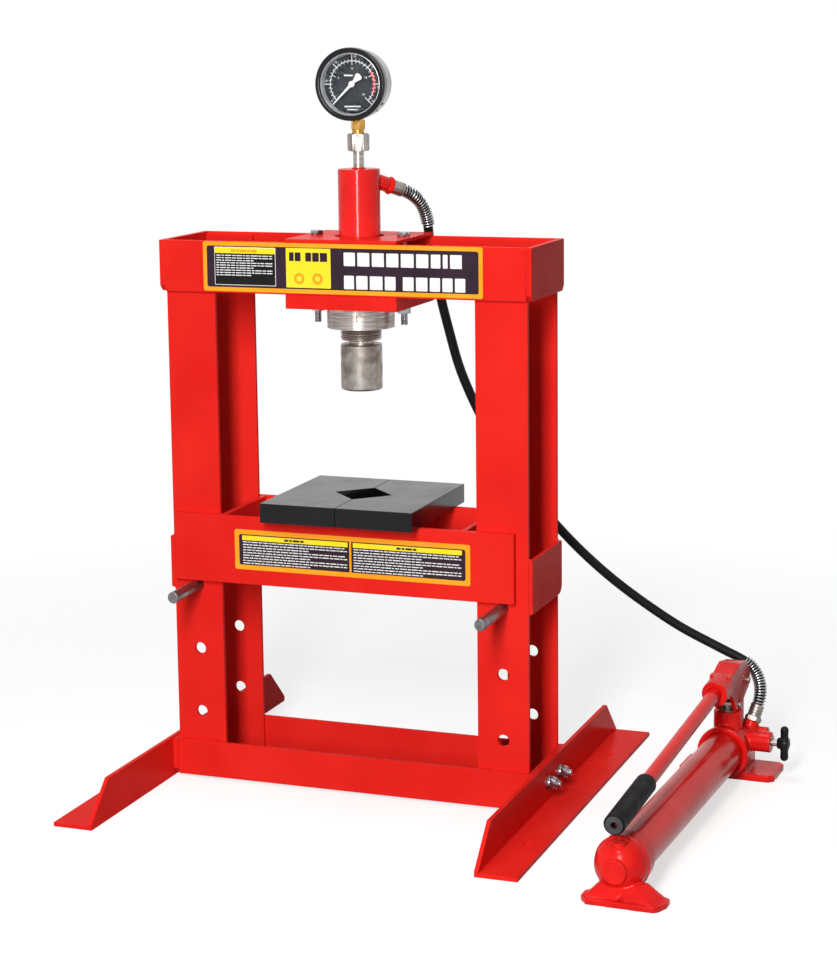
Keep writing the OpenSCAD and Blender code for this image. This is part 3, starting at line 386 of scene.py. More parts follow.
def build_floor():
    """A pale floor that fades into the white surroundings away from the press."""
    corners = [(x * FLOOR_HALF, y * FLOOR_HALF, 0) for x, y in ((-1, -1), (1, -1), (1, 1), (-1, 1))]
    mesh = bpy.data.meshes.new("studio_floor")
    mesh.from_pydata(corners, [], [(0, 1, 2, 3)])
    material, tree, shader = new_material("floor_paint")
    set_inputs(shader, {"Base Color": (FLOOR_GREY, FLOOR_GREY, FLOOR_GREY, 1.0), "Roughness": 0.9,
                        "Specular IOR Level": 0.0, "Emission Color": FULL_WHITE})
    glow = ranged(tree, seen_directly(tree), 0.0, FLOOR_GLOW, 0.0, 1.0)
    tree.links.new(glow, shader.inputs["Emission Strength"])
    coords = tree.nodes.new("ShaderNodeTexCoord")
    away = tree.nodes.new("ShaderNodeVectorMath")
    away.operation = "LENGTH"
    tree.links.new(coords.outputs["Object"], away.inputs[0])
    tree.links.new(ranged(tree, away.outputs["Value"], 1.0, 0.0, FADE_FROM, FADE_TO), shader.inputs["Alpha"])
    mesh.materials.append(material)
    add_object("studio_floor", mesh)


build_world()
build_floor()


# ---------- making meshes ----------

def finish_piece(name, mesh, material, body, smooth, replaces):
    """A mesh made a piece of one material that rides on a body. smooth is the sharp-edge angle."""
    mesh.materials.clear()
    mesh.materials.append(material)
    mesh.polygons.foreach_set("use_smooth", np.ones(len(mesh.polygons), bool))
    mesh.set_sharp_from_angle(angle=math.radians(smooth))
    piece = add_object(name, mesh)
    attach(piece, body)
    if replaces:
        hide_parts(replaces)
    return piece


def add_piece(name, shape, material, body, smooth=40.0, replaces=None):
    """A piece from a shape of points and faces, in place of a CAD node where one is named."""
    verts, faces = shape
    mesh = bpy.data.meshes.new(name)
    mesh.from_pydata(np.asarray(verts, float).tolist(), [], [tuple(f) for f in faces])
    mesh.update()
    return finish_piece(name, mesh, material, body, smooth, replaces)


def grid_faces(rows, cols, wrap_rows=False, wrap_cols=False):
    """Four-sided faces of a grid of points, row by row, joined round where asked."""
    i = np.arange(rows if wrap_rows else rows - 1)
    k = np.arange(cols if wrap_cols else cols - 1)
    i, k = np.meshgrid(i, k, indexing="ij")
    i2, k2 = (i + 1) % rows, (k + 1) % cols
    return np.stack([i * cols + k, i * cols + k2, i2 * cols + k2, i2 * cols + k], -1).reshape(-1, 4).tolist()


def across(way):
    """Two directions square to a way and to each other."""
    way = unit(way)
    side = np.cross([0.0, 0.0, 1.0] if abs(way[2]) < 0.9 else [1.0, 0.0, 0.0], way)
    side = unit(side)
    return side, np.cross(way, side)


def round_angles(steps):
    """Angles evenly round a circle."""
    return np.linspace(0, 2 * math.pi, steps, endpoint=False)


def spokes(way, angles):
    """Directions square to a way, one at each angle round it."""
    u, v = across(way)
    angles = np.asarray(angles)[..., None]
    return np.cos(angles) * u + np.sin(angles) * v


def arc(centre, r, start, stop, count):
    """Points of an arc in a plane, about centre and between two angles in degrees."""
    a = np.radians(np.linspace(start, stop, count))
    return np.stack([centre[0] + r * np.cos(a), centre[1] + r * np.sin(a)], -1).tolist()


def tube_faces(rows, steps):
    """Faces of a tube of rings of points, with one more face over each end."""
    last = (rows - 1) * steps
    return grid_faces(rows, steps, wrap_cols=True) + [tuple(range(steps))[::-1], tuple(range(last, last + steps))]


def turned_points(profile, foot, way, steps):
    """Points of a profile of (radius, height) turned about a line from foot along way."""
    profile = np.asarray(profile, float)[:, None, None]
    return (np.asarray(foot) + profile[..., 1] * unit(way)
            + profile[..., 0] * spokes(way, round_angles(steps))).reshape(-1, 3)


def lathe(profile, foot, way, steps=64):
    """A profile of (radius, height) turned about a line from foot along way, closed at both ends."""
    return turned_points(profile, foot, way, steps), tube_faces(len(profile), steps)


def ring_lathe(profile, foot, way, steps=64):
    """A closed profile turned about a line, for a ring with a hole through it."""
    faces = grid_faces(len(profile), steps, wrap_rows=True, wrap_cols=True)
    return turned_points(profile, foot, way, steps), faces


def path_frames(path):
    """Directions along a path and two sides that turn as little as they can from point to point."""
    path = np.asarray(path, float)
    ways = np.gradient(path, axis=0)
    ways /= np.linalg.norm(ways, axis=1)[:, None]
    sides = np.zeros_like(ways)
    sides[0] = across(ways[0])[0]
    for i in range(1, len(path)):
        side = sides[i - 1] - ways[i] * (sides[i - 1] @ ways[i])
        sides[i] = side / np.linalg.norm(side)
    return ways, sides, np.cross(ways, sides)


def pipe(path, radius, sides=16):
    """A round bar carried along a path, its radius one number or one for each point."""
    path = np.asarray(path, float)
    _, u, v = path_frames(path)
    radius = np.broadcast_to(np.asarray(radius, float), len(path))[:, None, None]
    turn = round_angles(sides)[:, None]
    verts = path[:, None] + radius * (np.cos(turn) * u[:, None] + np.sin(turn) * v[:, None])
    return verts.reshape(-1, 3), tube_faces(len(path), sides)


def together(parts):
    """Several (points, faces) pairs as one."""
    verts, faces, count = [], [], 0
    for v, f in parts:
        verts.append(np.asarray(v, float))
        faces.extend(tuple(int(k) + count for k in face) for face in f)
        count += len(v)
    return np.concatenate(verts), faces


def lengths_along(points):
    """The length along a line of points at each of them."""
    return np.concatenate([[0], np.cumsum(np.linalg.norm(np.diff(points, axis=0), axis=1))])


def smooth_path(points, count):
    """A curve through points, worked out as a natural cubic by length, with count points on it."""
    points = np.asarray(points, float)
    s = lengths_along(points)
    n = len(points)
    h = np.diff(s)
    matrix = np.eye(n)
    right = np.zeros((n, 3))
    for i in range(1, n - 1):
        matrix[i, i - 1:i + 2] = h[i - 1], 2 * (h[i - 1] + h[i]), h[i]
        right[i] = 6 * ((points[i + 1] - points[i]) / h[i] - (points[i] - points[i - 1]) / h[i - 1])
    bend = np.linalg.solve(matrix, right)
    t = np.linspace(0, s[-1], count)
    i = np.clip(np.searchsorted(s, t, side="right") - 1, 0, n - 2)
    a, b = (s[i + 1] - t)[:, None], (t - s[i])[:, None]
    hi = h[i][:, None]
    return (bend[i] * a ** 3 + bend[i + 1] * b ** 3) / (6 * hi) \
        + (points[i] / hi - bend[i] * hi / 6) * a + (points[i + 1] / hi - bend[i + 1] * hi / 6) * b


def hexagon(r_flat, z0, z1, foot, way, chamfer=0.0, hole=0.0, turn=0.0):
    """A hexagonal prism along way, with its corners turned off round both ends, and a hole if asked."""
    steps, turned_off = 48, 1.03 * r_flat
    angles = round_angles(steps)
    to_flat = (angles + math.pi / 6) % (math.pi / 3) - math.pi / 6
    full = r_flat / np.cos(to_flat)
    cut = np.minimum(full, turned_off)
    rows = [(cut, z0), (full, z0 + chamfer), (full, z1 - chamfer), (cut, z1)]
    if hole:
        rows += [(np.full(steps, hole), z1), (np.full(steps, hole), z0)]
    ring = spokes(way, angles + turn)
    verts = np.concatenate([np.asarray(foot) + z * unit(way) + r[:, None] * ring for r, z in rows])
    if hole:
        return verts, grid_faces(len(rows), steps, wrap_rows=True, wrap_cols=True)
    return verts, tube_faces(len(rows), steps)


def thread(r_out, depth, pitch, length, foot, way):
    """A screw thread as one winding ridge: the radius rises and falls once for each turn of the helix, and
    the last turn runs out to the core."""
    steps, rows_a_turn = 40, 8
    rows = int(length / pitch * rows_a_turn) + 1
    z = np.linspace(0.0, length, rows)[:, None]
    angles = round_angles(steps)[None]
    wave = np.abs(((z / pitch - angles / (2 * math.pi)) % 1.0) * 2 - 1)
    core = r_out - depth
    r = core + (depth - depth * wave) * np.clip((length - z) / pitch, 0, 1)
    verts = np.asarray(foot) + z[..., None] * unit(way) + r[..., None] * spokes(way, angles)
    return verts.reshape(-1, 3), tube_faces(rows, steps)


def merged_copy(node, name, material, body, bevel=0.0, segments=2, flat=0.5):
    """A copy of a CAD node with its triangles merged into whole faces and its edges rounded."""
    shape = bmesh.new()
    shape.from_mesh(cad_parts[node].data)
    bmesh.ops.remove_doubles(shape, verts=shape.verts, dist=1e-6)
    bmesh.ops.dissolve_limit(shape, angle_limit=math.radians(flat), verts=shape.verts, edges=shape.edges)
    mesh = bpy.data.meshes.new(name)
    shape.to_mesh(mesh)
    shape.free()
    mesh.polygons.foreach_set("material_index", np.zeros(len(mesh.polygons), np.int32))
    piece = finish_piece(name, mesh, material, body, 35.0, node)
    if bevel:
        edge = piece.modifiers.new("round_edges", "BEVEL")
        edge.width = bevel
        edge.segments = segments
        edge.limit_method = "ANGLE"
        edge.angle_limit = math.radians(40)
        edge.harden_normals = True
    return piece


def turned_copy(node, name, body, bevel, segments=2):
    """A copy of a CAD node in turned bright steel."""
    return merged_copy(node, name, TURNED, body, bevel=bevel, segments=segments, flat=3.0)


def cast_copy(node, name, material, body, voxel, rounds=6):
    """A copy of a CAD node with its joints filled and edges softened, as on a painted casting."""
    piece = merged_copy(node, name, material, body, flat=0.01)
    remesh = piece.modifiers.new("one_skin", "REMESH")
    remesh.mode = "VOXEL"
    remesh.voxel_size = voxel
    remesh.use_smooth_shade = True
    soft = piece.modifiers.new("soften", "SMOOTH")
    soft.factor = 0.5
    soft.iterations = rounds
    return piece


# ---------- the hose ----------

PUMP_PORT = on_pump(mm([31.0, 574.1, 96.0]))
PUMP_PORT_WAY = pump_dir(unit([0.22, 0.4, 0.89]))
RAM_PORT = mm([48.0, 48.0, 868.0])
RAM_PORT_WAY = np.array([2.0, 2.0, -1.0]) / 3
PORT_LEAD = 3 * MM

HOSE_ROUTE = mm([
    RAM_PORT / MM, (RAM_PORT + PORT_LEAD * RAM_PORT_WAY) / MM,
    [58.6, 59.7, 860.4], [66.4, 72.2, 848.1], [70.3, 85.1, 827.9], [70.5, 93.6, 804.2],
    [71.6, 109.3, 759.2], [81.5, 115, 702], [92, 123, 650], [102, 131, 605], [119, 141, 555], [140, 154, 505],
    [166, 170, 455], [198, 187, 402], [232, 203, 355], [270, 219, 311], [315, 237, 267],
    [366, 252, 227], [416, 262, 195], [454, 267, 176], [476, 268, 166], [497, 268, 157],
    [515, 264.5, 147.5], [528, 257, 133], [534.5, 246, 116],
    (PUMP_PORT + PORT_LEAD * PUMP_PORT_WAY) / MM, PUMP_PORT / MM,
])
HOSE_D = 14 * MM
HOSE_LINE = smooth_path(HOSE_ROUTE, 420)
HOSE_LENGTH = float(lengths_along(HOSE_LINE)[-1])
GUARD_LENGTH = 76 * MM


def line_part(start, stop, count):
    """Points of the hose's line between two lengths along it."""
    t = np.linspace(start, stop, count)
    return np.stack([np.interp(t, lengths_along(HOSE_LINE), HOSE_LINE[:, k]) for k in range(3)], -1)


def coil_guard(start, stop):
    """Spring wire wound round a stretch of the hose: a helix about the hose's line."""
    wire, pitch, middle_r, steps_a_turn = 1.15 * MM, 4.3 * MM, 8.5 * MM, 20
    turns = (stop - start) / pitch
    count = int(turns * steps_a_turn)
    line = line_part(start + wire, stop - wire, count)
    _, u, v = path_frames(line)
    angles = np.linspace(0, 2 * math.pi * turns, count)[:, None]
    return pipe(line + middle_r * (np.cos(angles) * u + np.sin(angles) * v), wire, sides=8)


def crimped_ferrule(end, way):
    """A turned sleeve with three crimp rings, from its fitting to the hose's start."""
    r, length, groove, pitch = 10.3, 18.0, 3.2, 4.6
    profile = [(7.5, 0.0), (9.7, 0.0), (r, 0.6)]
    for z in groove + pitch * np.arange(3):
        profile += [(r, z), (9.7, z + 0.5), (9.6, z + 1.6), (r, z + 2.1)]
    profile += [(r, length - 0.8), (9.9, length), (7.3, length)]
    return lathe(mm(profile), end - length * MM * way, way, 48)


def build_hose():
    """The hose with its ferrules and spring guards."""
    hose = add_piece("hose_line", pipe(HOSE_LINE, HOSE_D / 2, 24), RUBBER, "frame",
                     replaces="hose")
    coils = [coil_guard(0.0, GUARD_LENGTH), coil_guard(HOSE_LENGTH - GUARD_LENGTH, HOSE_LENGTH)]
    guards = add_piece("hose_spring_guards", together(coils), GUARD_STEEL, "frame",
                       replaces="hose_guards")
    sleeves = [crimped_ferrule(RAM_PORT, RAM_PORT_WAY), crimped_ferrule(PUMP_PORT, PUMP_PORT_WAY)]
    ferrules = add_piece("hose_end_ferrules", together(sleeves), CAST_STEEL, "frame",
                         replaces="hose_ferrules")


build_hose()


# ---------- frame, feet and bed ----------

PAINTED_PLATES = {
    "frame": ("front_left_upright", "front_right_upright", "back_left_upright", "back_right_upright",
              "head_front_plate", "head_back_plate", "head_end_plates",
              "base_front_plate", "base_back_plate", "base_end_plates",
              "tie_plates", "left_foot", "right_foot", "clamp_top_plate", "clamp_bottom_plate"),
    "bed": ("bed_front_plate", "bed_back_plate", "bed_cross_plates"),
}
for body_name, node_names in PAINTED_PLATES.items():
    for node_name in node_names:
        merged_copy(node_name, node_name + "_painted", RED, body_name, bevel=1.1 * MM, segments=3)
for side_name in ("left", "right"):
    merged_copy(side_name + "_arbor_plate", side_name + "_arbor_plate_enamel", BLACK_IRON, "bed",
                bevel=1.0 * MM, segments=3)
    merged_copy(side_name + "_bed_pin", side_name + "_bed_pin_bar", PIN_STEEL, side_name + "_pin",
                bevel=0.3 * MM)


def weld_bead(start, stop, width, lump):
    """A weld: a round bar along a line whose radius swells and falls with each lump of metal and closes in
    at both ends."""
    start, stop = np.asarray(start, float), np.asarray(stop, float)
    length = np.linalg.norm(stop - start)
    t = np.linspace(0, 1, max(int(length / (1.2 * MM)), 8))
    path = start + (stop - start) * t[:, None]
    ripple = np.abs(np.sin(t * length / lump * math.pi))
    ends = np.sqrt(np.clip(1 - np.abs(2 * t - 1) ** 24, 0.04, 1))
    return pipe(path, width * (0.86 + 0.14 * ripple) * ends, 12)


def build_welds():
    """Weld beads where the plates of the head, base and bed meet."""
    head_low, head_high = low("head_front_plate"), high("head_front_plate")
    base_low, base_high = low("base_front_plate"), high("base_front_plate")
    corner_x, corner_y = head_high[0], -head_low[1] - 0.6 * MM
    beads = []
    for sx, side in ((-1, "left"), (1, "right")):
        for sy, row in ((-1, "front"), (1, "back")):
            x, y = sx * corner_x, sy * corner_y
            for z0, z1 in ((head_low[2], head_high[2]), (base_low[2], base_high[2])):
                beads.append(weld_bead([x, y, z0 + 9 * MM], [x, y, z1 - 1 * MM], 1.6 * MM, 4 * MM))
            bar = f"{row}_{side}_upright"
            x0, x1 = low(bar)[0] + 4 * MM, high(bar)[0] - 4 * MM
            y = low(bar)[1] if row == "front" else high(bar)[1]
            for z in (head_low[2], base_high[2]):
                beads.append(weld_bead([x0, y, z], [x1, y, z], 1.8 * MM, 5 * MM))
        x = sx * (corner_x + 0.4 * MM)
        for z in (low("tie_plates")[2], high("tie_plates")[2]):
            for y0, y1 in ((-70, -66), (56, 70)):
                beads.append(weld_bead([x, y0 * MM, z], [x, y1 * MM, z], 2.0 * MM, 4 * MM))
    add_piece("frame_weld_beads", together(beads), CAST_RED, "frame")
    cross_low, cross_high = low("bed_cross_plates"), high("bed_cross_plates")
    inner, thick = high("bed_front_plate")[1], 8 * MM
    beads = []
    for x in (cross_low[0], cross_low[0] + thick, cross_high[0] - thick, cross_high[0]):
        for y in (-inner, inner):
            beads.append(weld_bead([x, y, cross_low[2] + 4 * MM], [x, y, cross_high[2] - 4 * MM],
                                   1.8 * MM, 4 * MM))
    add_piece("bed_weld_beads", together(beads), CAST_RED, "bed")


build_welds()


# ---------- labels, drawn in millimetres ----------

LAYER = 0.12                                                          # one layer of print
DASHES = (7.0, 4.0, 10.0, 5.5, 8.5, 3.5, 6.0, 11.0, 4.5, 9.0, 5.0)    # lengths of the dashes, in order
DASH_GAP, SHORTEST_DASH = 1.3, 3.0


def slab_faces(n):
    """Faces of a flat slab: n points of its front outline, then the n behind them."""
    sides = [(k, k + n, (k + 1) % n + n, (k + 1) % n) for k in range(n)]
    return [tuple(range(n))] + sides + [tuple(range(n, 2 * n))[::-1]]


def rounded_field(x0, x1, z0, z1, y, r, thick=LAYER):
    """A thin flat field with round corners that faces the front: an outline brought forward from y by thick."""
    corners = [(x1 - r, z1 - r, 0), (x0 + r, z1 - r, 90), (x0 + r, z0 + r, 180), (x1 - r, z0 + r, 270)]
    outline = np.array(sum([arc((x, z), r, a, a + 90, 5) for x, z, a in corners], []))
    front = np.insert(outline, 1, y - thick, axis=1)
    return mm(np.concatenate([front, front + [0, thick, 0]])), slab_faces(len(front))


def dashed_rows(x0, x1, z_top, pitch, rows, tall, y):
    """Rows of short pale dashes in place of small print; every third row stops early."""
    parts, turn = [], 0
    for row in range(rows):
        z = z_top - pitch * row
        stop = x1 - (x1 - x0) * (0.35 if row % 3 == 2 else 0.0)
        x = x0
        while x < stop - SHORTEST_DASH:
            end = min(x + DASHES[turn % len(DASHES)], stop)
            parts.append(rounded_field(x, end, z - tall, z, y, 0.3))
            x = end + DASH_GAP
            turn += 1
    return parts


def bar_row(x0, z, tall, widths, gap, y):
    """A row of plain upright bars of given widths; a width of zero leaves a wider gap."""
    parts, x = [], x0
    for w in widths:
        if w:
            parts.append(rounded_field(x, x + w, z, z + tall, y, 1.2))
        x += (w or 4.0) + gap
    return parts


def label_ground(name, x0, x1, z0, z1, y, edge, body):
    """A label's orange edge and the dark field inside it."""
    add_piece(name + "_edge", rounded_field(x0, x1, z0, z1, y, 3.0), LABEL_ORANGE, body)
    add_piece(name + "_field", rounded_field(
        x0 + edge, x1 - edge, z0 + edge, z1 - edge, y - LAYER, 3.0), LABEL_DARK, body)


def build_head_label():
    """The label on the head: a ruled panel, a yellow square with plain marks, and pale bars."""
    y = low("head_front_plate")[1] / MM
    z0, z1 = low("head_front_plate")[2] / MM + 2.5, high("head_front_plate")[2] / MM - 0.6
    edge, line = 6.0, 0.8
    label_ground("head_label", -211, 211, z0, z1, y, edge, "frame")
    y -= 2 * LAYER
    bottom, top = z0 + edge + 3.0, z1 - edge - 1.5
    left, right = -193, -98
    middles = (-62, -34)
    fields = {
        "panel": ([rounded_field(left, right, bottom, top, y, line)], WHITE),
        "panel_field": ([rounded_field(left + line, right - line, bottom + line, top - line, y - LAYER, 0.6)],
                        LABEL_BLACK),
        "yellow": ([rounded_field(left + line, right - line, top - 9.0, top - line, y - 2 * LAYER, 0.6),
                    rounded_field(-82, -14, bottom - 1.0, top + 0.5, y, line)], LABEL_YELLOW),
        "orange_marks": (dashed_rows(left + 26, right - 26, top - 3.4, 10.0, 1, 3.6, y - 3 * LAYER)
                         + [rounded_field(x - 8, x + 8, bottom + 4, bottom + 20, y - LAYER, 7.9)
                            for x in middles], LABEL_ORANGE),
        "mark_middles": ([rounded_field(x - 4, x + 4, bottom + 8, bottom + 16, y - 2 * LAYER, 3.9)
                          for x in middles], LABEL_YELLOW),
        "dark_marks": (bar_row(-77, top - 18, 12.5, (7, 9, 0, 9, 10, 11), 1.6, y - LAYER), LABEL_DARK),
        "small_print": (dashed_rows(left + 3, right - 3, top - 11.4, 3.5, 9, 1.3, y - 2 * LAYER), WHITE),
        "bars": (bar_row(6, top - 23, 19.0, (17, 18, 18, 18, 19, 18, 14, 7, 17), 3.6, y)
                 + bar_row(6, bottom - 1, 19.0, (15, 17, 19, 16, 0, 16, 17, 15, 15, 15), 3.4, y), WHITE),
    }
    for name, (parts, material) in fields.items():
        add_piece("head_label_" + name, together(parts), material, "frame")


def build_bed_label():
    """The label on the bed: two dark panels with yellow heads and dashed rows."""
    y = low("bed_front_plate")[1] / MM
    x0, x1, z0, z1, edge = -170, 191, 325, 384, 7.0
    label_ground("bed_label", x0, x1, z0, z1, y, edge, "bed")
    middle_x, top = (x0 + x1) / 2, z1 - edge
    add_piece("bed_label_divider", rounded_field(
        middle_x - 1.6, middle_x + 1.6, z0 + 1, z1 - 1, y - LAYER, 0.8, 2 * LAYER), LABEL_ORANGE, "bed")
    y -= 2 * LAYER
    heads, marks, rows = [], [], []
    for a, b in ((x0 + edge + 5, middle_x - 4), (middle_x + 4, x1 - edge - 5)):
        heads.append(rounded_field(a, b, top - 8.5, top - 1.5, y, 0.8))
        marks += dashed_rows((a + b) / 2 - 16, (a + b) / 2 + 16, top - 3.6, 9.0, 1, 3.0, y - LAYER)
        rows += dashed_rows(a + 1, b - 1, top - 10.4, 3.9, 9, 1.4, y)
    for name, parts, material in (("heads", heads, LABEL_YELLOW), ("head_marks", marks, LABEL_DARK),
                                  ("rows", rows, WHITE)):
        add_piece("bed_label_" + name, together(parts), material, "bed")


build_head_label()
build_bed_label()


# ---------- fasteners ----------

BOLT_R, BOLT_HOLE_R = 5 * MM, 5.1 * MM
HEX_R, HEX_CHAMFER = 8.5 * MM, 0.7 * MM
HEAD_H, NUT_H = 6.4 * MM, 8.5 * MM
WASHER = mm([(5.1, 0), (10.4, 0), (10.5, 0.3), (10.5, 1.7), (10.2, 2), (5.1, 2)])
SPRING_WASHER = mm([(5.1, 2.05), (8.9, 2.05), (9, 2.3), (9, 4.2), (8.9, 4.45), (5.1, 4.45)])


def bolt_parts(foot, way, length):
    """A bolt whose head starts at foot and rises along way, with a threaded end the other way."""
    return [hexagon(HEX_R, 0.0, HEAD_H, foot, way, chamfer=HEX_CHAMFER),
            thread(BOLT_R, 0.45 * MM, 1.5 * MM, length, foot, -unit(way))]


def nut_parts(foot, way, washers, start):
    """Washers and a nut along way: the washers' profiles are given from foot, and the nut starts above them."""
    parts = [ring_lathe(profile, foot, way, 40) for profile in washers]
    return parts + [hexagon(HEX_R, start, start + NUT_H, foot, way, chamfer=HEX_CHAMFER, hole=BOLT_HOLE_R)]


def build_clamp_fasteners():
    """Two clamp bolts with their heads on the upper plate, and washers and nuts under the lower one."""
    top, under, end = high("clamp_top_plate")[2], low("clamp_bottom_plate")[2], low("clamp_bolts")[2]
    bolts, nuts = [], []
    for x in (-66.5 * MM, 66.5 * MM):
        bolts += bolt_parts([x, 0.0, top], UP, top - end)
        nuts += nut_parts([x, 0.0, under], DOWN, [WASHER], 2 * MM)
    add_piece("clamp_bolts_threaded", together(bolts), ZINC, "frame", replaces="clamp_bolts")
    add_piece("clamp_nuts_plated", together(nuts), ZINC, "frame", replaces="clamp_nuts")


def build_foot_fasteners():
    """Foot bolts with heads inside the base, and washers, spring washers and nuts outside the feet."""
    head_x, face_x, end_x = high("base_front_plate")[0], low("right_foot")[0] + 6 * MM, high("foot_bolts")[0]
    bolts, nuts = [], []
    for side in (-1, 1):
        for y in (-27 * MM, 27 * MM):
            bolts += bolt_parts([side * head_x, y, 32 * MM], [-side, 0, 0], end_x - head_x)
            nuts += nut_parts([side * face_x, y, 32 * MM], [side, 0, 0], [WASHER, SPRING_WASHER], 4.5 * MM)
    add_piece("foot_bolts_threaded", together(bolts), ZINC, "frame", replaces="foot_bolts")
    add_piece("foot_nuts_plated", together(nuts), ZINC, "frame", replaces="foot_nuts")


build_clamp_fasteners()
build_foot_fasteners()


# ---------- ram ----------

AXIS = 0.05 * MM         # where a turned profile stops short of its axis


def build_ram():
    """Cylinder with its port boss and threaded lower end, ring nut and head."""
    nut_low, top, bottom = low("ring_nut")[2], high("ram_cylinder")[2], low("ram_cylinder")[2]
    r, bore, bore_top, thread_top = 30 * MM, 22 * MM, top - 17 * MM, nut_low + 12 * MM
    edge = 1.6 * MM
    body = [(AXIS, bore_top), (bore, bore_top), (bore, thread_top), (r, thread_top)]
    body += arc((r - edge, top - edge), edge, 0, 90, 6) + [(AXIS, top)]
    boss = lathe(mm([(11, 0), (11, 21.5), (10.2, 22.6), (6, 23)]), RAM_PORT - 48 * MM * RAM_PORT_WAY,
                 RAM_PORT_WAY, 48)
    add_piece("ram_cylinder_painted", together([lathe(body, ORIGIN, UP, 128), boss]), TUBE_RED, "frame",
              replaces="ram_cylinder")
    peak, depth, pitch = 29.8 * MM, 1.3 * MM, 3.4 * MM
    z = np.linspace(bottom + 1.0 * MM, nut_low + 2 * MM, 90)
    ridge = np.abs(((z - bottom) / pitch) % 1.0 * 2 - 1)
    profile = [(bore, bottom), (peak - 1.6 * MM, bottom)]
    profile += np.stack([peak - depth * (1 - ridge), z], -1).tolist()
    profile += [(peak, thread_top), (bore, thread_top)]
    add_piece("cylinder_thread", ring_lathe(profile, ORIGIN, UP, 128), TURNED, "frame")
    turned_copy("ring_nut", "ring_nut_turned", "frame", 1.2 * MM, segments=3)
    top, base = high("ram_head")[2], low("ram_head")[2]
    edge, chamfer = 4 * MM, 1.2 * MM
    head = [(AXIS, base)] + arc((r - edge, base + edge), edge, -90, 0, 9)
    head += [(r, top - chamfer), (r - chamfer, top), (18 * MM, top)]
    add_piece("ram_head_turned", lathe(head, ORIGIN, UP, 96), CAST_STEEL, "ram",
              replaces="ram_head")


build_ram()


# ---------- gauge ----------

GAUGE_Z = middle("gauge_bezel")[2]
GAUGE = np.array([0.0, 0.0, GAUGE_Z])
GAUGE_WAY = (0, 1, 0)
GAUGE_TURN = math.radians(4.0)
BEZEL_R, CASE_R, SEAT_R = [
    (high(node)[2] - low(node)[2]) / 2 for node in ("gauge_bezel", "gauge_case", "gauge_dial")]
BEZEL_FRONT, CASE_FRONT, CASE_BACK, DIAL_Y, POINTER_Y = mm([-37.0, -22.0, 14.0, -23.5, -27.5])
DIAL_START, DIAL_SWEEP = 225.0, 270.0
SCALE_R = 32.4 * MM
PRINT = 0.12 * MM        # how far the dial's print stands out


def gauge_piece(name, shape, material, body="frame", replaces=None):
    """A piece drawn with the gauge facing straight to the front, turned with the gauge on its stem."""
    c, s = math.cos(GAUGE_TURN), math.sin(GAUGE_TURN)
    turn = np.array([[c, s, 0.0], [-s, c, 0.0], [0.0, 0.0, 1.0]])
    return add_piece(name, (shape[0] @ turn, shape[1]), material, body, replaces=replaces)


def dial_ways(degrees):
    """The way outwards and the way round at an angle of the dial, anticlockwise from the right."""
    a = np.radians(degrees)
    return np.array([np.cos(a), 0.0, np.sin(a)]), np.array([-np.sin(a), 0.0, np.cos(a)])


def dial_tick(angle, r0, r1, width):
    """A thin raised bar along a radius of the dial."""
    out, side = dial_ways(angle)
    centre = GAUGE + [0, DIAL_Y, 0]
    side = side * width / 2
    flat = centre + np.array([out * r0 - side, out * r1 - side, out * r1 + side, out * r0 + side])
    return np.concatenate([flat - [0, PRINT, 0], flat]), slab_faces(4)


def dial_arc(a0, a1, r0, r1):
    """A flat raised band of the dial between two angles and two radii."""
    n = 40
    a = np.radians(np.linspace(a0, a1, n))
    front = DIAL_Y - 0.1 * MM
    rows = [np.stack([r * np.cos(a), np.full(n, y), GAUGE_Z + r * np.sin(a)], -1)
            for r, y in ((r0, DIAL_Y), (r0, front), (r1, front), (r1, DIAL_Y))]
    ends = [(0, n, 2 * n, 3 * n), (n - 1, 4 * n - 1, 3 * n - 1, 2 * n - 1)]
    return np.concatenate(rows), grid_faces(4, n, wrap_rows=True) + ends


def dial_bar(x0, x1, z, tall):
    """A plain raised bar on the dial, in millimetres from its middle, in place of words."""
    z += GAUGE_Z / MM
    return rounded_field(x0, x1, z, z + tall, DIAL_Y / MM, 0.6, PRINT / MM)


def dial_number(text, angle, r, size):
    """A plain number on the dial, set upright at an angle and radius, as a mesh."""
    curve = bpy.data.curves.new("number", "FONT")
    curve.body = text
    curve.size = size
    curve.align_x = "CENTER"
    curve.align_y = "CENTER"
    curve.extrude = 0.05 * MM
    holder = add_object("number", curve)
    bpy.context.view_layer.update()
    graph = bpy.context.evaluated_depsgraph_get()
    mesh = bpy.data.meshes.new_from_object(holder.evaluated_get(graph))
    flat = np.empty(len(mesh.vertices) * 3)
    mesh.vertices.foreach_get("co", flat)
    flat = flat.reshape(-1, 3)
    place = GAUGE + r * dial_ways(angle)[0] + [0, DIAL_Y - 0.08 * MM, 0]
    verts = place + np.stack([flat[:, 0], -flat[:, 2], flat[:, 1]], -1)
    faces = [tuple(p.vertices) for p in mesh.polygons]
    bpy.data.objects.remove(holder)
    bpy.data.curves.remove(curve)
    bpy.data.meshes.remove(mesh)
    return verts, faces


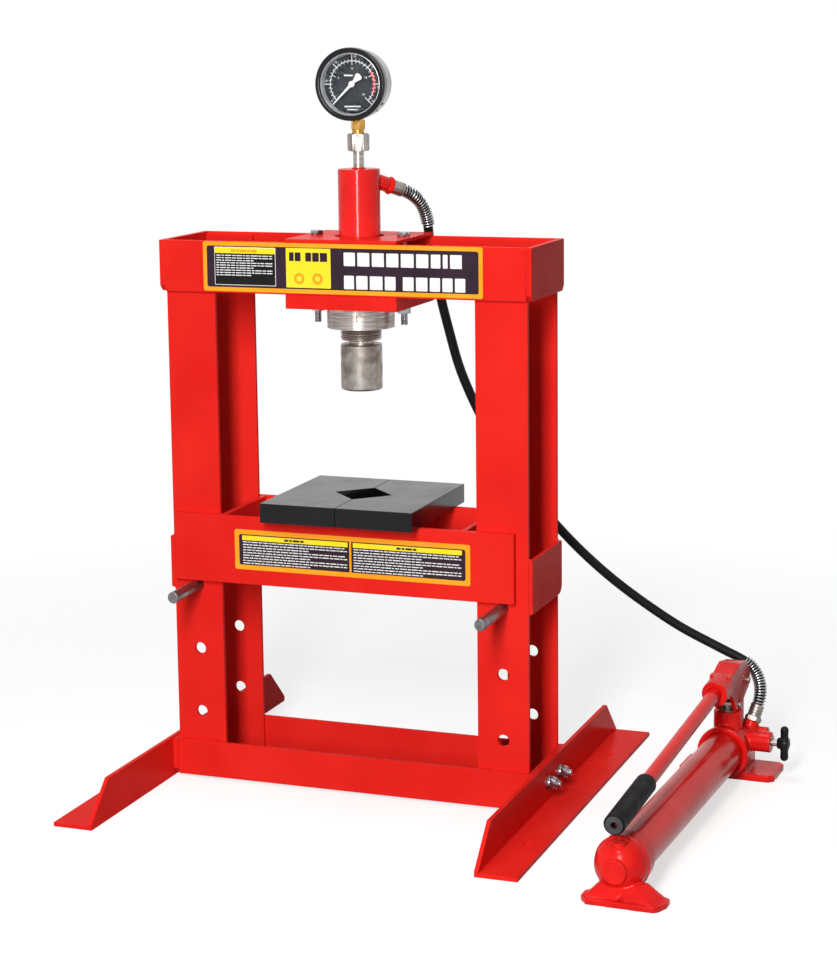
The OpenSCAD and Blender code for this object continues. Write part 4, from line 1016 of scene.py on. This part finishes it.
def build_dial():
    """The dial's print: an outer scale, an inner scale, plain numbers and a red band near the top end."""
    white = []
    for steps, every, way, long, short, wide, thin in ((30, 5, 1, 8.0, 2.8, 1.0, 0.75),
                                                       (24, 6, -1, 6.0, 3.0, 0.9, 0.7)):
        for k in range(steps + 1):
            reach, width = (long, wide) if k % every == 0 else (short, thin)
            ends = sorted((SCALE_R, SCALE_R + way * reach * MM))
            white.append(dial_tick(DIAL_START - DIAL_SWEEP * k / steps, *ends, width * MM))
    for k in range(7):
        angle = DIAL_START - DIAL_SWEEP * k / 6 - (-7 if k == 6 else 7)
        white.append(dial_number(str(10 * k), angle, 38.6 * MM, 4.0 * MM))
    for k in range(5):
        angle = DIAL_START - 2 - DIAL_SWEEP * k / 4 * 0.98
        white.append(dial_number(str(5 * k), angle, 21.8 * MM, 4.2 * MM))
    white.append(dial_arc(DIAL_START, DIAL_START - DIAL_SWEEP, SCALE_R - 0.5 * MM, SCALE_R + 0.5 * MM))
    for x0, x1, z, tall in ((-12, 12, -32, 1.7), (-8, 8, -36.4, 1.7), (-12, 1, 11, 2.0)):
        white.append(dial_bar(x0, x1, z, tall))
    gauge_piece("dial_print", together(white), WHITE)
    gauge_piece("dial_red_band", dial_arc(32, -22, SCALE_R - 1.9 * MM, SCALE_R + 1.9 * MM), RED_PRINT)


def build_pointer():
    """The pointer: a tapering arm and a spade-shaped tail about a domed hub, on its shaft."""
    out, side = dial_ways(DIAL_START)
    half = [(39, 0.0), (38, 0.5), (4, 1.9), (-4, 2.0), (-9, 3.2), (-14, 5.4), (-17.2, 4.6), (-18.4, 0.0)]
    outline = mm(half + [(x, -w) for x, w in half[-2:0:-1]])
    flat = outline[:, :1] * out + outline[:, 1:] * side + GAUGE + [0, POINTER_Y, 0]
    blade = np.concatenate([flat, flat + [0, 0.9 * MM, 0]]), slab_faces(len(flat))
    hub = lathe(mm([(0.05, -0.6), (3.0, -0.4), (4.4, 0.3), (4.4, 1.0), (1.5, 1.1), (1.5, 13.8)]),
                GAUGE + [0, POINTER_Y, 0], GAUGE_WAY, 40)
    gauge_piece("gauge_pointer_spade", together([blade, hub]), WHITE, "pointer",
                replaces="gauge_pointer")


def gauge_ring(name, profile, material, replaces=None):
    """A ring of the gauge from its profile of (radius, depth)."""
    gauge_piece(name, ring_lathe(profile, GAUGE, GAUGE_WAY, 128), material, replaces=replaces)


def build_gauge():
    """Case, bezel, lens rings and case screws."""
    back, front, r, wall = CASE_BACK, CASE_FRONT, CASE_R, 3 * MM
    case = [(AXIS, back - 4 * MM), (r - wall, back - 4 * MM), (r - wall, front), (r, front), (r, front + 1 * MM),
            (r, back - 8 * MM), (r - 0.5 * MM, back - 5 * MM), (r - 1.5 * MM, back - 3 * MM),
            (r - 4.4 * MM, back - 0.5 * MM), (r - 6 * MM, back), (AXIS, back)]
    gauge_piece("gauge_case_spun", lathe(case, GAUGE, GAUGE_WAY, 96), STAINLESS,
                replaces="gauge_case")
    outer, opening, seat, edge = BEZEL_R, 43.5 * MM, SEAT_R + 0.2 * MM, 2.4 * MM
    inside = np.array([opening, BEZEL_FRONT])
    rim = (inside + mm([(0, 2.9), (0.1, 1.6), (1.4, 0.5), (2.4, 0.1)])).tolist()
    rim += arc((outer - edge, BEZEL_FRONT + edge), edge, -90, 0, 7)
    rim += [(outer, front - 1.6 * MM), (outer - 0.8 * MM, front - 0.3 * MM), (outer - 1.6 * MM, front),
            (seat, front), (seat, BEZEL_FRONT + 3 * MM)]
    gauge_ring("gauge_bezel_ring", rim, BLACK_ENAMEL, "gauge_bezel")
    lip = inside + mm([(0.2, 3.0), (-0.9, 2.7), (-1.2, 3.4), (-0.8, 4.6), (0.2, 5.2)])
    gauge_ring("gauge_lens_ring", lip, SATIN_RING)
    lens_back, dial_face = BEZEL_FRONT + 5.6 * MM, DIAL_Y - 0.1 * MM
    spacer = [(opening - 0.2 * MM, lens_back), (opening - 1.0 * MM, lens_back), (opening - 2.4 * MM, dial_face),
              (opening - 0.2 * MM, dial_face)]
    gauge_ring("gauge_spacer_ring", spacer, SATIN_RING)
    screws = []
    for angle in (-36, -50):
        out = dial_ways(angle)[0]
        screws.append(lathe(mm([(2.2, -0.4), (2.2, 0.5), (1.7, 1.0), (0.05, 1.1)]),
                            GAUGE + CASE_R * out + [0, -9 * MM, 0], out, 20))
    gauge_piece("gauge_case_screws", together(screws), BLACK_ENAMEL)


def build_gauge_mount():
    """The steel adapter, brass stem and welded tube under the gauge."""
    foot, top = low("gauge_adapter")[2], high("gauge_adapter")[2]
    nut = hexagon(13.5 * MM, 0.0, top - foot, [0, 0, foot], UP, chamfer=1.6 * MM, turn=math.radians(20))
    add_piece("gauge_adapter_nut", nut, CAST_STEEL, "frame", smooth=25.0,
              replaces="gauge_adapter")
    foot, top, case = low("gauge_stem")[2], high("gauge_stem")[2], low("gauge_case")[2]
    collar = mm([(6, 0), (8.6, 0), (8.85, 0.4), (8.85, 2.0), (8.3, 2.4), (8.3, 3.4), (8.85, 3.8), (8.85, 5.4),
                 (6, 5.8), (6, (top - foot) / MM)])
    flats = hexagon(9 * MM, 5.6 * MM, case - 2 * MM - foot, [0, 0, foot], UP, chamfer=0.8 * MM,
                    turn=math.radians(5))
    add_piece("gauge_stem_brass", together([lathe(collar, [0, 0, foot], UP, 48), flats]), BRASS, "frame",
              smooth=25.0, replaces="gauge_stem")
    turned_copy("gauge_tube", "gauge_tube_turned", "frame", 0.5 * MM)
    a = np.linspace(0, 2 * math.pi, 60)
    ring = 8.6 * MM * np.stack([np.cos(a), np.sin(a), np.zeros(60)], -1)
    bead = pipe(ring + [0, 0, high("ram_cylinder")[2] + 0.2 * MM],
                1.7 * MM * (0.85 + 0.15 * np.abs(np.sin(6 * a))), 10)
    add_piece("gauge_tube_weld", bead, CAST_RED, "frame")


build_dial()
build_pointer()
build_gauge()
build_gauge_mount()


# ---------- fittings between the hose's ferrules and the ports ----------

FITTING_BACK = 25 * MM
for port_name, port, port_way, port_finish, port_slot in (
        ("ram_port", RAM_PORT, RAM_PORT_WAY, RED, "red_paint"),
        ("pump_port", PUMP_PORT, PUMP_PORT_WAY, CAST_STEEL, "bright_steel")):
    add_piece(port_name + "_hexagon",
              hexagon(11 * MM, 0.0, 7 * MM, port - FITTING_BACK * port_way, port_way, chamfer=1.0 * MM),
              port_finish, "frame", smooth=25.0, replaces=port_name + "_fitting")


# ---------- pump ----------

TANK_Z = 44 * MM
KNOB = mm([72, 532, 54])
HANDLE_SOCKET = mm([0.0, 478.0, 148.0])
HANDLE_SLOPE = math.radians(4.7)
HANDLE_WAY = np.array([0.0, -math.cos(HANDLE_SLOPE), -math.sin(HANDLE_SLOPE)])
HANDLE_LENGTH = 500 * MM
GRIP_LENGTH, GRIP_R, GRIP_OVER = 140.0, 14.3, 15.0      # in millimetres; it reaches GRIP_OVER past the handle


def build_pump_body():
    """Tank, front cap and head as painted castings, the filler plug, and the turned gland, pins and plunger."""
    merged_copy("pump_tank", "pump_tank_tube", TUBE_RED, "frame", flat=3.0)
    cast_copy("pump_front_cap", "pump_front_cap_casting", CAST_RED, "frame", 1.1 * MM, 5)
    cast_copy("pump_head", "pump_head_casting", CAST_RED, "frame", 1.2 * MM, 6)
    a = np.linspace(0, 2 * math.pi, 97)
    seam = np.stack([36.0 * MM * np.cos(a), np.full(97, 1.2 * MM), TANK_Z + 36.0 * MM * np.sin(a)], -1)
    add_piece("pump_cap_seam", pipe(on_pump(seam), 1.2 * MM, 10), CAST_RED, "frame")
    merged_copy("filler_plug", "filler_plug_painted", RED, "frame", bevel=0.8 * MM, segments=3, flat=3.0)
    turned_copy("plunger_gland", "plunger_gland_turned", "frame", 0.3 * MM)
    turned_copy("pivot_pin", "pivot_pin_turned", "frame", 0.8 * MM)
    turned_copy("pump_plunger", "pump_plunger_ground", "plunger", 0.4 * MM)
    turned_copy("plunger_pin", "plunger_pin_turned", "plunger", 0.6 * MM)


def build_handle():
    """Bracket casting, handle tube and ribbed grip with a lighter grey end."""
    cast_copy("handle_bracket", "handle_bracket_casting", CAST_RED, "handle", 1.0 * MM, 5)
    merged_copy("pump_handle", "pump_handle_tube", TUBE_RED, "handle", flat=3.0)
    length, r, bore, edge = GRIP_LENGTH, GRIP_R, 10.05, 2.6
    start = HANDLE_SOCKET + HANDLE_WAY * (HANDLE_LENGTH - (length - GRIP_OVER) * MM)
    profile = [(bore, 0.0), (r - 1.4, 0.0), (r, 1.4), (r, 7.0)]
    for z in np.arange(9.0, length - 16.0, 4.6):
        profile += [(r, z), (r - 1.1, z + 0.5), (r - 1.1, z + 1.6), (r, z + 2.1)]
    profile += arc((r - edge, length - edge), edge, 0, 90, 6)
    profile += [(4.4, length), (3.4, length - 0.8), (3.4, length - 4.0), (8.0, length - 4.0),
                (8.0, length - GRIP_OVER), (bore, length - GRIP_OVER)]
    # a thin ring of lighter grey rubber laid 0.15 mm proud over the grip's end face
    lighter_end = [(3.8, length - 1.5), (4.6, length + 0.15), (r - edge, length + 0.15), (r - 1.9, length - 1.5)]
    for name, rows, finish, node in (("handle_grip_end", lighter_end, GRIP_END, None),
                                     ("handle_grip_ribbed", profile, GRIP, "handle_grip")):
        add_piece(name, ring_lathe(mm(rows), on_pump(start), pump_dir(HANDLE_WAY), 72), finish, "handle",
                  replaces=node)


def build_knob():
    """The release valve's stem and its knob: a round hub with two wings that swell at their ends."""
    turned_copy("valve_stem", "valve_stem_turned", "valve", 0.4 * MM)
    hub = lathe(mm([(5.05, 0), (7.2, 0), (8, 1), (9, 5), (10, 9), (10, 13), (8.4, 16.6), (4, 17.8), (0.05, 18)]),
                on_pump(KNOB), pump_dir([1, 0, 0]), 48)
    reach, tip = 20.4 * MM, 6.1 * MM
    t = np.linspace(-1, 1, 41)
    width = (5.4 + 0.7 * t ** 2 + 3.2 * np.exp(-(3 * t) ** 2)) * MM
    round_end = np.linspace(0, math.pi / 2, 7)[1:]
    cap_z, cap_r = reach + tip * np.sin(round_end), np.maximum(tip * np.cos(round_end), 0.1 * MM)
    z = np.concatenate([-cap_z[::-1], reach * t, cap_z])
    path = KNOB + np.stack([np.full(len(z), 10 * MM), np.zeros(len(z)), z], -1)
    wings = pipe(on_pump(path), np.concatenate([cap_r[::-1], width, cap_r]), 24)
    add_piece("valve_knob_moulded", together([hub, wings]), KNOB_PLASTIC, "valve",
              replaces="valve_knob")


build_pump_body()
build_handle()
build_knob()


# ---------- CAD nodes that keep their shape and take a material ----------

for node_name, node_material in (("gauge_lens", GLASS), ("gauge_dial", DIAL), ("gland", BRONZE),
                                 ("piston_rod", TURNED), ("piston_seal", RUBBER), ("return_spring", GUARD_STEEL)):
    node_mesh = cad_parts[node_name].data
    node_mesh.materials.clear()
    node_mesh.materials.append(node_material)
